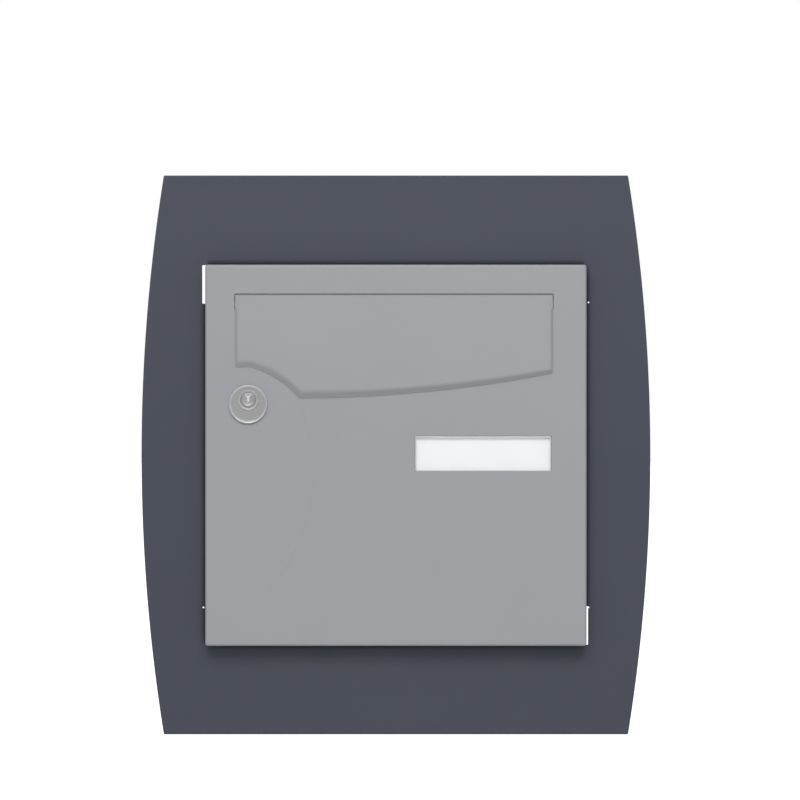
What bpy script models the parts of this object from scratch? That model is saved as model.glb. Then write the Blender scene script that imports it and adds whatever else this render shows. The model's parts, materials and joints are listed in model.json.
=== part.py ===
"""A mailbox that is held in a wire-mesh fence or on a wall.

A folded steel letter box passes through a curved surround plate. A pan-shaped door hangs on two pins at
its right edge, and carries the mail flap, a name plate and a cam lock. A clamp frame behind the plate
grips the fence mesh. The frame has +Z up, the front faces -Y, and the origin is the centre of the back
panel's outer face.
"""

import math

import bmesh
import bpy
from mathutils import Matrix, Vector

mm = 0.001
GAP = 0.3 * mm                        # left between pieces that touch

# Letter box: a square tube of folded sheet, with a flanged front frame
BOX_SIDE = 272 * mm
BOX_SHEET = 1.0 * mm
BOX_FLANGE = 10 * mm
BOX_HALF = BOX_SIDE / 2
CORNER_CUT_X = 108 * mm               # the front frame's top and bottom and the hem end at this x
RIVET_HOLE = 2.3 * mm                 # radius of the rivets' and bumpers' holes
PLATE_TO_BACK = 352 * mm              # plate's front face to the back panel's outer face

# Surround plate: straight top and bottom, sides bowed outwards
PLATE_HEIGHT = 413 * mm
PLATE_TOP_WIDTH = 343 * mm
PLATE_BULGE = 16.5 * mm               # how far each side bows beyond its ends
PLATE_SHEET = 2.0 * mm
PLATE_FRONT = -PLATE_TO_BACK
OPENING_HALF = 136.5 * mm             # the four guide flanges stand along its edges
GUIDE_DEPTH = 22 * mm
GUIDE_HALF_X, GUIDE_HALF_Z = 104 * mm, 110.4 * mm
NOTCH_START, NOTCH_END = 111.8 * mm, 140.3 * mm
NOTCH_NARROW = 140.5 * mm
NOTCH_REACH = {(-1, 1): 143.2 * mm, (1, -1): 142 * mm, (1, 1): NOTCH_NARROW, (-1, -1): NOTCH_NARROW}
RELIEF_X, RELIEF_Z, RELIEF_RADIUS = 142.3 * mm, 112.7 * mm, 0.8 * mm

# Fence clamp
FENCE_GAP = 10.5 * mm                 # two crossed 5 mm wires and some play
CLAMP_FRONT = PLATE_FRONT + PLATE_SHEET + FENCE_GAP
CLAMP_SHEET = 2.0 * mm
CLAMP_OUTER = (168 * mm, 195 * mm)    # half sizes in X and Z
CLAMP_INNER = (146 * mm, 146 * mm)
STUD_X, STUD_Z = 137 * mm, 166 * mm
STUD_RADIUS = 3 * mm
STUD_LENGTH = 27 * mm

# Door: a pressed pan that stands proud of the plate
DOOR_SIDE = 280 * mm
DOOR_HALF = DOOR_SIDE / 2
DOOR_SHEET = 1.2 * mm
DOOR_DEPTH = 13 * mm
DOOR_FRONT = PLATE_FRONT - 16 * mm
DOOR_HEM = 8.8 * mm                   # inward lip behind the top, bottom and left returns
HINGE_INSET = 6.7 * mm                # axis to the door's right and front faces
HINGE_X = DOOR_HALF - HINGE_INSET
HINGE_Y = DOOR_FRONT + HINGE_INSET
PIN_RADIUS = 2.0 * mm
PIN_HEAD = 3.4 * mm                   # radius of the pin's shoulders
BRACKET_SHEET = 2 * mm
BOX_FRONT = PLATE_FRONT + 1 * mm      # front face of the box's flange

# Mail flap and its outline, about the door's centre
MOUTH_LEFT, MOUTH_RIGHT, MOUTH_TOP = -118.4 * mm, 115.6 * mm, 118.6 * mm
MOUTH_LEFT_FOOT = 64.3 * mm           # height of the short level edge over the lock
MOUTH_RIGHT_FOOT = 59.8 * mm
LOCK_ARC_CENTRE = (-123.8 * mm, -1.8 * mm)
LOCK_ARC_RADIUS = 68.3 * mm
LOCK_ARC_START_X, TIP_X = -107.5 * mm, -70.8 * mm
LOWER_ARC_SAG = 4.3 * mm
FLAP_GAP = 0.4 * mm
FLAP_OVERLAP = 3.0 * mm               # how far the flap covers the door round the slot
FLAP_PROUD_TOP, FLAP_PROUD_FOOT = 1.0 * mm, 3.0 * mm
FLAP_BEVEL, FLAP_END_BEVEL = 5.0 * mm, 2.4 * mm   # along the lower edge, and at the two ends
FLAP_WALL = 1.2 * mm
FLAP_AXIS_Z = MOUTH_TOP - 7 * mm
FLAP_AXIS_Y = DOOR_FRONT + 4.2 * mm
SPLIT_Z = FLAP_AXIS_Z - 4.5 * mm      # over this height the flap turns in through the door's sheet
HOOD_RADIUS = 7.3 * mm                # the flap's rolled top edge, about its axis
HOLLOW_TOP = 96 * mm
AXLE_RADIUS = 1.5 * mm
EAR_XS = (-104 * mm, 96 * mm)
EAR_THICK, EAR_RADIUS = 3 * mm, 4.8 * mm
BRACKET_XS = (-121 * mm, 118 * mm)    # left faces of the two axle brackets' ears
BRACKET_EAR = 1.5 * mm
LEAF_SHEET = 1.2 * mm                 # the brackets' leaf on the back of the door's sheet
SPRING_RADIUS = 2.9 * mm
SPRING_WIRE = 0.45 * mm
SPRING_TURNS = 5.5
SPRING_START_X, SPRING_END_X = 101.2 * mm, 108.6 * mm

# Lock and name plate, about the door's centre
LOCK_X, LOCK_Z = -108.4 * mm, 40.6 * mm
ROSETTE_Z = LOCK_Z - 3.2 * mm
ROSETTE_RADIUS = 14.2 * mm
HOUSING_RADIUS = 7.4 * mm
PLUG_RADIUS = 5.6 * mm
HOUSING_HOLE = HOUSING_RADIUS + 0.35 * mm
CAM_LENGTH = 26 * mm
CAM_SHEET = 2 * mm
CAM_HALF_WIDTH = 7 * mm
TAIL_HALF = 3 * mm                    # half of the plug's square tail
CAM_FRONT = BOX_FRONT + BOX_SHEET + 0.8 * mm
NAME_CENTRE = (64.0 * mm, 1.1 * mm)
NAME_SIZE = (100 * mm, 26 * mm)
WINDOW_SHEET = 2.4 * mm
CARD_SHEET = 0.4 * mm
HOLDER_SHEET = 3.4 * mm
HOLDER_MARGIN = 4 * mm

# name: (colour, roughness, metallic)
PAINTS = {
    "anthracite_paint": ((0.076, 0.084, 0.105), 0.55, 0.0),
    "grey_paint": ((0.347, 0.356, 0.376), 0.45, 0.0),
    "zinc_steel": ((0.62, 0.63, 0.64), 0.35, 1.0),
    "lock_metal": ((0.60, 0.59, 0.57), 0.3, 1.0),
    "grey_plastic": ((0.30, 0.30, 0.30), 0.5, 0.0),
    "black_rubber": ((0.03, 0.03, 0.03), 0.8, 0.0),
    "clear_plastic": ((0.9, 0.9, 0.9), 0.1, 0.0),
    "white_card": ((0.87, 0.88, 0.91), 0.7, 0.0),
}


def clear_scene():
    for obj in list(bpy.data.objects):
        bpy.data.objects.remove(obj)


def paint(name):
    """The material of that name, made when it is first asked for."""
    found = bpy.data.materials.get(name)
    if found:
        return found
    colour, roughness, metallic = PAINTS[name]
    made = bpy.data.materials.new(name)
    made.use_nodes = True
    shader = made.node_tree.nodes["Principled BSDF"]
    shader.inputs["Base Color"].default_value = (*colour, 1)
    shader.inputs["Roughness"].default_value = roughness
    shader.inputs["Metallic"].default_value = metallic
    made.diffuse_color = (*colour, 1)
    return made


def axis_empty(name, place, parent=None):
    """An empty on a joint's axis, which that joint's pieces hang from."""
    empty = bpy.data.objects.new(name, None)
    bpy.context.scene.collection.objects.link(empty)
    empty.location = place
    if parent:
        empty.parent = parent
        empty.location = Vector(place) - parent.matrix_world.translation
    bpy.context.view_layer.update()
    return empty


def place_object(name, bm, paint_name=None, origin=(0, 0, 0), parent=None):
    """Makes an object from bm, whose points are in the part's frame, with its origin where asked."""
    bmesh.ops.recalc_face_normals(bm, faces=bm.faces)
    bm.transform(Matrix.Translation(-Vector(origin)))
    mesh = bpy.data.meshes.new(name)
    bm.to_mesh(mesh)
    bm.free()
    mesh.shade_smooth()
    mesh.set_sharp_from_angle(angle=math.radians(30))
    obj = bpy.data.objects.new(name, mesh)
    bpy.context.scene.collection.objects.link(obj)
    obj.location = origin
    if parent:
        obj.parent = parent
        obj.location = Vector(origin) - parent.matrix_world.translation
    if paint_name:
        mesh.materials.append(paint(paint_name))
    return obj


def add_block(bm, low, high):
    """Adds a box between two corners, and returns its vertices."""
    size = Vector(high) - Vector(low)
    middle = (Vector(high) + Vector(low)) / 2
    matrix = Matrix.Translation(middle) @ Matrix.Diagonal((*size, 1))
    return bmesh.ops.create_cube(bm, size=1, matrix=matrix)["verts"]


def add_rod(bm, start, end, radius, sides=24):
    """Adds a cylinder from start to end."""
    start, end = Vector(start), Vector(end)
    along = end - start
    matrix = Matrix.Translation((start + end) / 2) @ along.to_track_quat("Z", "Y").to_matrix().to_4x4()
    bmesh.ops.create_cone(
        bm, cap_ends=True, segments=sides, radius1=radius, radius2=radius, depth=along.length, matrix=matrix
    )


def add_hole(bm, place, radius, sides=20, axis="Y"):
    """Adds a cylinder centred on place, long enough to cut a hole through any one sheet or nut."""
    reach = Vector([9 * mm if name == axis else 0 for name in "XYZ"])
    add_rod(bm, Vector(place) - reach, Vector(place) + reach, radius, sides)


def scaled(profile):
    """A profile given in millimetres, in metres."""
    return [(radius * mm, height * mm) for radius, height in profile]


def add_turned(bm, centre, direction, profile, sides=24):
    """Adds a closed turned shape. profile lists (radius, distance along direction); a first or last
    radius of 0 closes on the axis, and otherwise the profile is a ring's whole section."""
    turn = Vector(direction).to_track_quat("Z", "Y").to_matrix().to_4x4()
    matrix = Matrix.Translation(centre) @ turn
    rings = []
    for radius, height in profile:
        if radius == 0:
            rings.append([bm.verts.new(matrix @ Vector((0, 0, height)))])
            continue
        angles = [2 * math.pi * i / sides for i in range(sides)]
        rings.append([
            bm.verts.new(matrix @ Vector((radius * math.cos(a), radius * math.sin(a), height)))
            for a in angles
        ])
    solid = profile[0][0] == 0
    pairs = zip(rings, rings[1:]) if solid else zip(rings, rings[1:] + rings[:1])
    for lower, upper in pairs:
        for i in range(sides):
            j = (i + 1) % sides
            below = [lower[i % len(lower)], lower[j % len(lower)]]
            above = [upper[j % len(upper)], upper[i % len(upper)]]
            bm.faces.new(list(dict.fromkeys(below + above)))


def add_prism(bm, outline, start, end, along="Y"):
    """Adds a flat shape with a thickness along Y from (x, z) points, or along Z from (x, y) points."""
    def ring(level):
        places = [(a, level, b) if along == "Y" else (a, b, level) for a, b in outline]
        return [bm.verts.new(place) for place in places]

    first, last = ring(start), ring(end)
    bm.faces.new(first)
    bm.faces.new(last[::-1])
    for i in range(len(outline)):
        j = (i + 1) % len(outline)
        bm.faces.new((first[i], first[j], last[j], last[i]))


def round_edges(bm, chosen, radius, segments=3):
    """Rounds the edges for which chosen(first end, second end) is true."""
    edges = [e for e in bm.edges if chosen(e.verts[0].co, e.verts[1].co)]
    bmesh.ops.bevel(bm, geom=edges, offset=radius, segments=segments, affect="EDGES", profile=0.5)


def cut(obj, name, bm):
    """Takes the shapes in bm out of obj with a Boolean."""
    cutter = place_object(f"{obj.name}_{name}_cutter", bm)
    cutter.hide_render = True
    cutter.display_type = "WIRE"
    boolean = obj.modifiers.new(name, "BOOLEAN")
    boolean.operation = "DIFFERENCE"
    boolean.solver = "EXACT"
    boolean.use_self = True
    boolean.object = cutter


def join(obj, name, bm):
    """Adds the shapes in bm to obj with a Boolean."""
    cut(obj, name, bm)
    obj.modifiers[name].operation = "UNION"


def arc(centre, radius, start, end, steps):
    """Points on a circle from angle start to angle end, both included."""
    angles = [start + (end - start) * i / steps for i in range(steps + 1)]
    return [(centre[0] + radius * math.cos(a), centre[1] + radius * math.sin(a)) for a in angles]


def sagged_arc(start, end, sag, steps):
    """Points of the shallow arc from start to end that bows to the right of that direction by sag."""
    start, end = Vector(start), Vector(end)
    chord = end - start
    radius = (chord.length**2 / 4 + sag**2) / (2 * sag)
    side = Vector((chord.y, -chord.x)).normalized()
    centre = (start + end) / 2 - side * (radius - sag)
    first = math.atan2(start.y - centre.y, start.x - centre.x)
    half = math.asin(chord.length / 2 / radius)
    return arc(centre, radius, first, first + 2 * half, steps)


# Housing


def plate_outline():
    """Straight top and bottom, and two bowed sides, anticlockwise from the lower right corner."""
    x, z = PLATE_TOP_WIDTH / 2, PLATE_HEIGHT / 2
    right = sagged_arc((x, -z), (x, z), PLATE_BULGE, 20)
    left = sagged_arc((-x, z), (-x, -z), PLATE_BULGE, 20)
    return right + left


def surround_plate():
    bm = bmesh.new()
    add_prism(bm, plate_outline(), PLATE_FRONT, PLATE_FRONT + PLATE_SHEET)
    plate = place_object("surround_plate", bm, "anthracite_paint", (0, PLATE_FRONT, 0))
    half = OPENING_HALF
    front, behind = PLATE_FRONT - 5 * mm, PLATE_FRONT + 10 * mm
    opening = bmesh.new()
    add_block(opening, (-half, front, -half), (half, behind, half))
    for (side_x, side_z), reach in NOTCH_REACH.items():
        low_x, high_x = sorted((side_x * (half - 6 * mm), side_x * reach))
        low_z, high_z = sorted((side_z * NOTCH_START, side_z * NOTCH_END))
        add_block(opening, (low_x, front, low_z), (high_x, behind, high_z))
        relief_x, relief_z = side_x * RELIEF_X, side_z * RELIEF_Z
        add_rod(opening, (relief_x, front, relief_z), (relief_x, behind, relief_z), RELIEF_RADIUS, 16)
    cut(plate, "opening", opening)
    guides = bmesh.new()
    y_back = PLATE_FRONT + GUIDE_DEPTH
    for side in (-1, 1):
        low, high = sorted((side * half, side * (half + PLATE_SHEET)))
        add_block(guides, (low, PLATE_FRONT, -GUIDE_HALF_Z), (high, y_back, GUIDE_HALF_Z))
        add_block(guides, (-GUIDE_HALF_X, PLATE_FRONT, low), (GUIDE_HALF_X, y_back, high))
    join(plate, "guides", guides)
    holes = bmesh.new()
    for x, z in plate_screw_places():
        add_hole(holes, (x, screw_y(), z), 2.6 * mm, 16, "X")
    cut(plate, "screw_holes", holes)


def plate_screw_places():
    return [(side * (BOX_HALF + 1.5 * mm), z) for side in (-1, 1) for z in (80 * mm, -80 * mm)]


def screw_y():
    return PLATE_FRONT + 13 * mm


def plate_screws():
    """Pan-head screws from the guide flanges into the box's sides."""
    for number, (x, z) in enumerate(plate_screw_places(), 1):
        side = math.copysign(1, x)
        seat = (side * (OPENING_HALF + PLATE_SHEET + GAP), screw_y(), z)
        bm = bmesh.new()
        profile = scaled([
            (0, 2.6), (2.6, 2.4), (4.2, 1.2), (4.4, 0), (2.1, 0), (2.1, -8), (1.0, -10), (0, -10.4),
        ])
        add_turned(bm, seat, (side, 0, 0), profile, 16)
        place_object(f"plate_screw_{number}", bm, "zinc_steel", seat)


def clamp_frame():
    bm = bmesh.new()
    x, z = CLAMP_OUTER
    add_block(bm, (-x, CLAMP_FRONT, -z), (x, CLAMP_FRONT + CLAMP_SHEET, z))
    round_edges(bm, lambda a, b: abs(a.y - b.y) > 1 * mm, 10 * mm, 4)
    frame = place_object("rear_clamp_frame", bm, "zinc_steel", (0, CLAMP_FRONT, 0))
    holes = bmesh.new()
    x, z = CLAMP_INNER
    add_block(holes, (-x, CLAMP_FRONT - 5 * mm, -z), (x, CLAMP_FRONT + 7 * mm, z))
    for x, z in stud_places():
        add_hole(holes, (x, CLAMP_FRONT, z), STUD_RADIUS + 0.6 * mm)
    cut(frame, "openings", holes)


def stud_places():
    return [(x, z) for z in (STUD_Z, -STUD_Z) for x in (-STUD_X, STUD_X)]


def clamp_studs_and_nuts():
    """Welded studs on the plate's back, with flanged hexagon nuts that pull the clamp frame in."""
    for number, (x, z) in enumerate(stud_places(), 1):
        foot = (x, PLATE_FRONT + PLATE_SHEET + GAP, z)
        bm = bmesh.new()
        profile = [
            (0, 0), (4.6 * mm, 0), (4.6 * mm, 0.8 * mm), (STUD_RADIUS, 1.6 * mm),
            (STUD_RADIUS, STUD_LENGTH - 1 * mm), (2.3 * mm, STUD_LENGTH), (0, STUD_LENGTH),
        ]
        add_turned(bm, foot, (0, 1, 0), profile, 20)
        place_object(f"clamp_stud_{number}", bm, "zinc_steel", foot)
        seat = (x, CLAMP_FRONT + CLAMP_SHEET + GAP, z)
        bm = bmesh.new()
        flange = scaled([(0, 0), (7, 0), (7, 1), (5, 1.8), (0, 1.8)])
        add_turned(bm, seat, (0, 1, 0), flange)
        nut = place_object(f"clamp_nut_{number}", bm, "zinc_steel", seat)
        bm = bmesh.new()
        add_rod(bm, (x, seat[1] + 0.4 * mm, z), (x, seat[1] + 6 * mm, z), 5.77 * mm, 6)
        join(nut, "hexagon", bm)
        bm = bmesh.new()
        add_hole(bm, seat, STUD_RADIUS + 0.35 * mm)
        cut(nut, "thread_hole", bm)


def front_frame():
    """A flat ring welded to the walls' front edges. It is cut away round each hinge bracket."""
    bm = bmesh.new()
    behind = BOX_FRONT + BOX_SHEET
    add_block(bm, (-BOX_HALF, BOX_FRONT, -BOX_HALF), (BOX_HALF, behind, BOX_HALF))
    round_edges(bm, lambda a, b: abs(a.y - b.y) > 0.5 * mm, 2 * mm, 2)
    ring = place_object("box_front_frame", bm, "grey_paint", (0, BOX_FRONT, 0))
    inner, edge = BOX_HALF - BOX_SHEET, BOX_HALF - BOX_FLANGE
    mouth = bmesh.new()
    add_block(mouth, (-edge, BOX_FRONT - 5 * mm, -edge), (edge, behind + 5 * mm, edge))
    cut(ring, "mouth", mouth)
    corners = bmesh.new()
    for side in (-1, 1):
        low, high = sorted((side * (edge - 2 * mm), side * (inner - 0.2 * mm)))
        low_corner = (CORNER_CUT_X, BOX_FRONT - 5 * mm, low)
        add_block(corners, low_corner, (inner - 0.2 * mm, behind + 5 * mm, high))
    cut(ring, "hinge_corners", corners)
    holes = bmesh.new()
    for x, z in bumper_places():
        add_hole(holes, (x, BOX_FRONT, z), RIVET_HOLE, 16)
    cut(ring, "bumper_holes", holes)


def letter_box():
    """The folded body: four walls, closed by the back panel, with the front frame on their front edges."""
    bm = bmesh.new()
    walls_front = BOX_FRONT + BOX_SHEET + GAP
    add_block(bm, (-BOX_HALF, walls_front, -BOX_HALF), (BOX_HALF, 0, BOX_HALF))
    round_edges(bm, lambda a, b: abs(a.y - b.y) > 10 * mm, 2 * mm, 2)
    box = place_object("letter_box", bm, "grey_paint", (0, walls_front, 0))
    inner = BOX_HALF - BOX_SHEET
    room = bmesh.new()
    add_block(room, (-inner, walls_front - 10 * mm, -inner), (inner, 10 * mm, inner))
    round_edges(room, lambda a, b: abs(a.y - b.y) > 10 * mm, 1 * mm, 2)
    cut(box, "room", room)
    holes = bmesh.new()
    for x, z in plate_screw_places():
        add_hole(holes, (x, screw_y(), z), 2.5 * mm, 16, "X")
    for x, y, side in hinge_rivet_places():
        add_hole(holes, (x, y, side * BOX_HALF), RIVET_HOLE, 16, "Z")
    add_back_rivet_holes(holes)
    for x in (-90 * mm, 90 * mm):
        for y in (-60 * mm, BOX_FRONT + 60 * mm):
            add_hole(holes, (x, y, -BOX_HALF), 2.5 * mm, 16, "Z")
    cut(box, "holes", holes)


def back_panel():
    """A pan that closes the box's back. Its returns point forward, inside the box's walls."""
    outer = BOX_HALF - BOX_SHEET - GAP
    bm = bmesh.new()
    add_block(bm, (-outer, -14 * mm, -outer), (outer, 0, outer))
    round_edges(bm, lambda a, b: abs(a.y - b.y) > 5 * mm, 1.6 * mm, 2)
    panel = place_object("back_panel", bm, "grey_paint")
    inner = outer - BOX_SHEET
    room = bmesh.new()
    add_block(room, (-inner, -30 * mm, -inner), (inner, -BOX_SHEET, inner))
    cut(panel, "room", room)
    holes = bmesh.new()
    for x in (-95 * mm, 95 * mm):
        for z in (-95 * mm, 95 * mm):
            add_hole(holes, (x, 0, z), 3.25 * mm)
    add_back_rivet_holes(holes)
    cut(panel, "holes", holes)


def back_rivet_places():
    """(point on the box's outer wall, outward direction) of each rivet round the back panel."""
    y = -8 * mm
    places = []
    for side in (-1, 1):
        for z in (-90 * mm, 90 * mm):
            places.append((Vector((side * BOX_HALF, y, z)), Vector((side, 0, 0))))
    for side in (-1, 1):
        places.append((Vector((0, y, side * BOX_HALF)), Vector((0, 0, side))))
    return places


def add_back_rivet_holes(bm):
    for place, outward in back_rivet_places():
        add_hole(bm, place, RIVET_HOLE, 16, "X" if outward.x else "Z")


def add_rivet(bm, seat, outward, grip):
    """Adds a blind rivet: a domed head outside, and an upset tail past the grip."""
    head = scaled([(0, 1.1), (1.8, 1.0), (3.4, 0.5), (3.6, 0), (1.9, 0)])
    tail = [
        (1.9 * mm, -grip), (2.9 * mm, -grip - 0.2 * mm), (2.7 * mm, -grip - 2 * mm), (0, -grip - 2.2 * mm),
    ]
    add_turned(bm, seat, outward, head + tail, 16)


def back_rivets():
    for number, (place, outward) in enumerate(back_rivet_places(), 1):
        seat = place + outward * GAP
        bm = bmesh.new()
        add_rivet(bm, seat, outward, 2 * BOX_SHEET + 3 * GAP)
        place_object(f"back_rivet_{number}", bm, "zinc_steel", seat)


# Door hinges


def hinge_rivet_places():
    """(x, y, side) of the rivets that hold each hinge bracket; side is 1 at the top and -1 below."""
    return [(x, PLATE_FRONT + 14 * mm, side) for side in (1, -1) for x in (115 * mm, 127 * mm)]


def hinge_brackets():
    """A flat lug under the box's top wall, and one over its bottom, that reach forward to the pins."""
    for name, side in (("upper", 1), ("lower", -1)):
        outer = side * (BOX_HALF - BOX_SHEET - GAP)
        low, high = sorted((outer, outer - side * BRACKET_SHEET))
        nose = arc((HINGE_X, HINGE_Y), 4.5 * mm, -math.pi, math.radians(60), 12)
        back = PLATE_FRONT + 22 * mm
        left, right = CORNER_CUT_X + 1 * mm, 134 * mm
        arm = [(right, PLATE_FRONT - 1 * mm), (right, back), (left, back), (left, PLATE_FRONT + 5 * mm)]
        bm = bmesh.new()
        add_prism(bm, nose + arm, low, high, "Z")
        bracket = place_object(f"hinge_bracket_{name}", bm, "zinc_steel", (HINGE_X, HINGE_Y, outer))
        holes = bmesh.new()
        add_hole(holes, (HINGE_X, HINGE_Y, outer), PIN_RADIUS + 0.3 * mm, 20, "Z")
        for x, y, where in hinge_rivet_places():
            if where == side:
                add_hole(holes, (x, y, outer), RIVET_HOLE, 16, "Z")
        cut(bracket, "holes", holes)


def hinge_rivets():
    for number, (x, y, side) in enumerate(hinge_rivet_places(), 1):
        seat = Vector((x, y, side * (BOX_HALF + GAP)))
        bm = bmesh.new()
        add_rivet(bm, seat, Vector((0, 0, side)), 3 * mm + 3 * GAP)
        place_object(f"hinge_rivet_{number}", bm, "zinc_steel", seat)


def hinge_pins():
    """A shouldered pin in each bracket. The door's bush turns on its thin end."""
    for name, side in (("upper", 1), ("lower", -1)):
        bracket_face = BOX_HALF - BOX_SHEET - GAP
        inner_face = bracket_face - BRACKET_SHEET
        collar = bracket_face + 1.4 * mm
        profile = [
            (0, 130.4 * mm), (PIN_HEAD, 130.6 * mm), (PIN_HEAD, inner_face - GAP),
            (PIN_RADIUS, inner_face - GAP), (PIN_RADIUS, bracket_face + GAP), (PIN_HEAD, bracket_face + GAP),
            (PIN_HEAD, collar), (PIN_RADIUS, collar), (PIN_RADIUS, DOOR_HALF - 0.4 * mm),
            (0, DOOR_HALF - 0.2 * mm),
        ]
        bm = bmesh.new()
        add_turned(bm, (HINGE_X, HINGE_Y, 0), (0, 0, side), profile, 24)
        place_object(f"hinge_pin_{name}", bm, "zinc_steel", (HINGE_X, HINGE_Y, side * bracket_face))


def hinge_bushes(door_axis):
    """Flanged plastic bushes in the door's top and bottom returns."""
    for name, side in (("upper", 1), ("lower", -1)):
        inside = DOOR_HALF - DOOR_SHEET - GAP
        bore = PIN_RADIUS + 0.25 * mm
        flange_radius, collar_radius = 4.6 * mm, 3.1 * mm
        profile = [
            (bore, inside - 1.2 * mm), (flange_radius, inside - 1.2 * mm), (flange_radius, inside),
            (collar_radius, inside), (collar_radius, DOOR_HALF), (bore, DOOR_HALF),
        ]
        bm = bmesh.new()
        add_turned(bm, (HINGE_X, HINGE_Y, 0), (0, 0, side), profile, 24)
        place_object(f"hinge_bush_{name}", bm, "grey_plastic", (HINGE_X, HINGE_Y, side * inside), door_axis)


# Seals


def bumper_places():
    edge = BOX_HALF - 5 * mm
    return [(-edge, 90 * mm), (-edge, -90 * mm), (-60 * mm, -edge), (60 * mm, -edge)]


def bumpers():
    """Push-in rubber buttons that the closed door's hem rests on."""
    for number, (x, z) in enumerate(bumper_places(), 1):
        seat = (x, BOX_FRONT - GAP, z)
        head = scaled([(0, -3.4), (2.6, -3.3), (3.2, -2.4), (3.2, 0)])
        barb = scaled([(1.9, 0), (1.9, 1.6), (2.8, 1.8), (1.4, 4), (0, 4.1)])
        bm = bmesh.new()
        add_turned(bm, seat, (0, 1, 0), head + barb, 16)
        place_object(f"door_bumper_{number}", bm, "black_rubber", seat)


def weather_strip():
    """A foam strip on the top flange that keeps rain from running in over it."""
    bm = bmesh.new()
    low = (-124 * mm, BOX_FRONT - 3.7 * mm, 128 * mm)
    high = (106 * mm, BOX_FRONT - GAP, 134.5 * mm)
    add_block(bm, low, high)
    long_front = lambda a, b: abs(a.x - b.x) > 50 * mm and min(a.y, b.y) < BOX_FRONT - 2 * mm
    round_edges(bm, long_front, 1.2 * mm, 2)
    place_object("weather_strip", bm, "black_rubber", low)


# Door


def mouth_outline(grow=0.0, rise=0.0, rise_right=None):
    """The flap's outline as (x, z) points, anticlockwise from its top left corner. grow moves its edges
    outwards. rise lifts the lower edge, by rise_right at its right end."""
    rise_right = rise if rise_right is None else rise_right
    left, right, top = MOUTH_LEFT - grow, MOUTH_RIGHT + grow, MOUTH_TOP + grow
    radius = LOCK_ARC_RADIUS - grow + rise
    centre = LOCK_ARC_CENTRE
    first = math.acos((LOCK_ARC_START_X - centre[0]) / radius)
    last = math.acos((TIP_X + rise * 0.3 - centre[0]) / radius)
    around_lock = arc(centre, radius, first, last, 8)
    tip = around_lock[-1]
    foot_right = (right, MOUTH_RIGHT_FOOT - grow + rise_right)
    lower = sagged_arc(tip, foot_right, LOWER_ARC_SAG, 12)
    return [(left, top), (left, MOUTH_LEFT_FOOT - grow + rise)] + around_lock + lower[1:] + [(right, top)]


def door_panel(door_axis):
    bm = bmesh.new()
    back = DOOR_FRONT + DOOR_DEPTH
    add_block(bm, (-DOOR_HALF, DOOR_FRONT, -DOOR_HALF), (DOOR_HALF, back, DOOR_HALF))
    round_edges(bm, lambda a, b: min(a.y, b.y) < DOOR_FRONT + 1 * mm, 2 * mm, 3)
    door = place_object("door_panel", bm, "grey_paint", (HINGE_X, HINGE_Y, 0), door_axis)
    inner = DOOR_HALF - DOOR_SHEET
    room = bmesh.new()
    add_block(room, (-inner, DOOR_FRONT + DOOR_SHEET, -inner), (inner, back + 5 * mm, inner))
    round_edges(room, lambda a, b: max(a.y, b.y) < DOOR_FRONT + 2 * mm, 0.9 * mm, 2)
    cut(door, "room", room)
    windows = bmesh.new()
    front, behind = DOOR_FRONT - 5 * mm, DOOR_FRONT + 5 * mm
    add_prism(windows, mouth_outline(-FLAP_GAP - FLAP_OVERLAP), front, behind)
    add_block(windows, (MOUTH_LEFT, front, SPLIT_Z), (MOUTH_RIGHT, behind, MOUTH_TOP))
    x, z = NAME_CENTRE
    half_x, half_z = NAME_SIZE[0] / 2 + GAP, NAME_SIZE[1] / 2 + GAP
    add_block(windows, (x - half_x, front, z - half_z), (x + half_x, behind, z + half_z))
    add_hole(windows, (LOCK_X, DOOR_FRONT, LOCK_Z), HOUSING_HOLE, 32)
    cut(door, "windows", windows)
    hinge_holes = bmesh.new()
    for side in (-1, 1):
        low, high = sorted((side * (DOOR_HALF - 3 * mm), side * (DOOR_HALF + 5 * mm)))
        add_rod(hinge_holes, (HINGE_X, HINGE_Y, low), (HINGE_X, HINGE_Y, high), 3.5 * mm, 24)
    cut(door, "hinge_holes", hinge_holes)
    reliefs = bmesh.new()
    for side in (-1, 1):
        low, high = sorted((side * 129 * mm, side * (inner - 1.2 * mm)))
        start = DOOR_FRONT + 2.4 * mm
        add_block(reliefs, (inner - 4 * mm, start, low), (DOOR_HALF + 5 * mm, back + 5 * mm, high))
    cut(door, "hinge_reliefs", reliefs)


def door_hem(door_axis):
    """A stiffening lip welded inside the top, bottom and left returns, level with their back edges."""
    back = DOOR_FRONT + DOOR_DEPTH
    outer = DOOR_HALF - DOOR_SHEET - GAP
    edge = DOOR_HALF - DOOR_SHEET - DOOR_HEM
    bm = bmesh.new()
    add_block(bm, (-outer, back - DOOR_SHEET, -outer), (CORNER_CUT_X, back, outer))
    hem = place_object("door_hem", bm, "grey_paint", (-outer, back, 0), door_axis)
    middle = bmesh.new()
    add_block(middle, (-edge, back - 5 * mm, -edge), (DOOR_HALF, back + 5 * mm, edge))
    cut(hem, "middle", middle)


# Mail flap


def shoulder_height():
    """How far above the axis the flap's face turns into its rolled top edge."""
    depth = FLAP_AXIS_Y - (DOOR_FRONT - FLAP_PROUD_TOP)
    return math.sqrt(HOOD_RADIUS**2 - depth**2)


def flap_proud(z):
    """How far the flap's face stands in front of the door's at height z."""
    shoulder = FLAP_AXIS_Z + shoulder_height()
    share = (shoulder - z) / (shoulder - MOUTH_LEFT_FOOT)
    return FLAP_PROUD_TOP + (FLAP_PROUD_FOOT - FLAP_PROUD_TOP) * share


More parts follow.
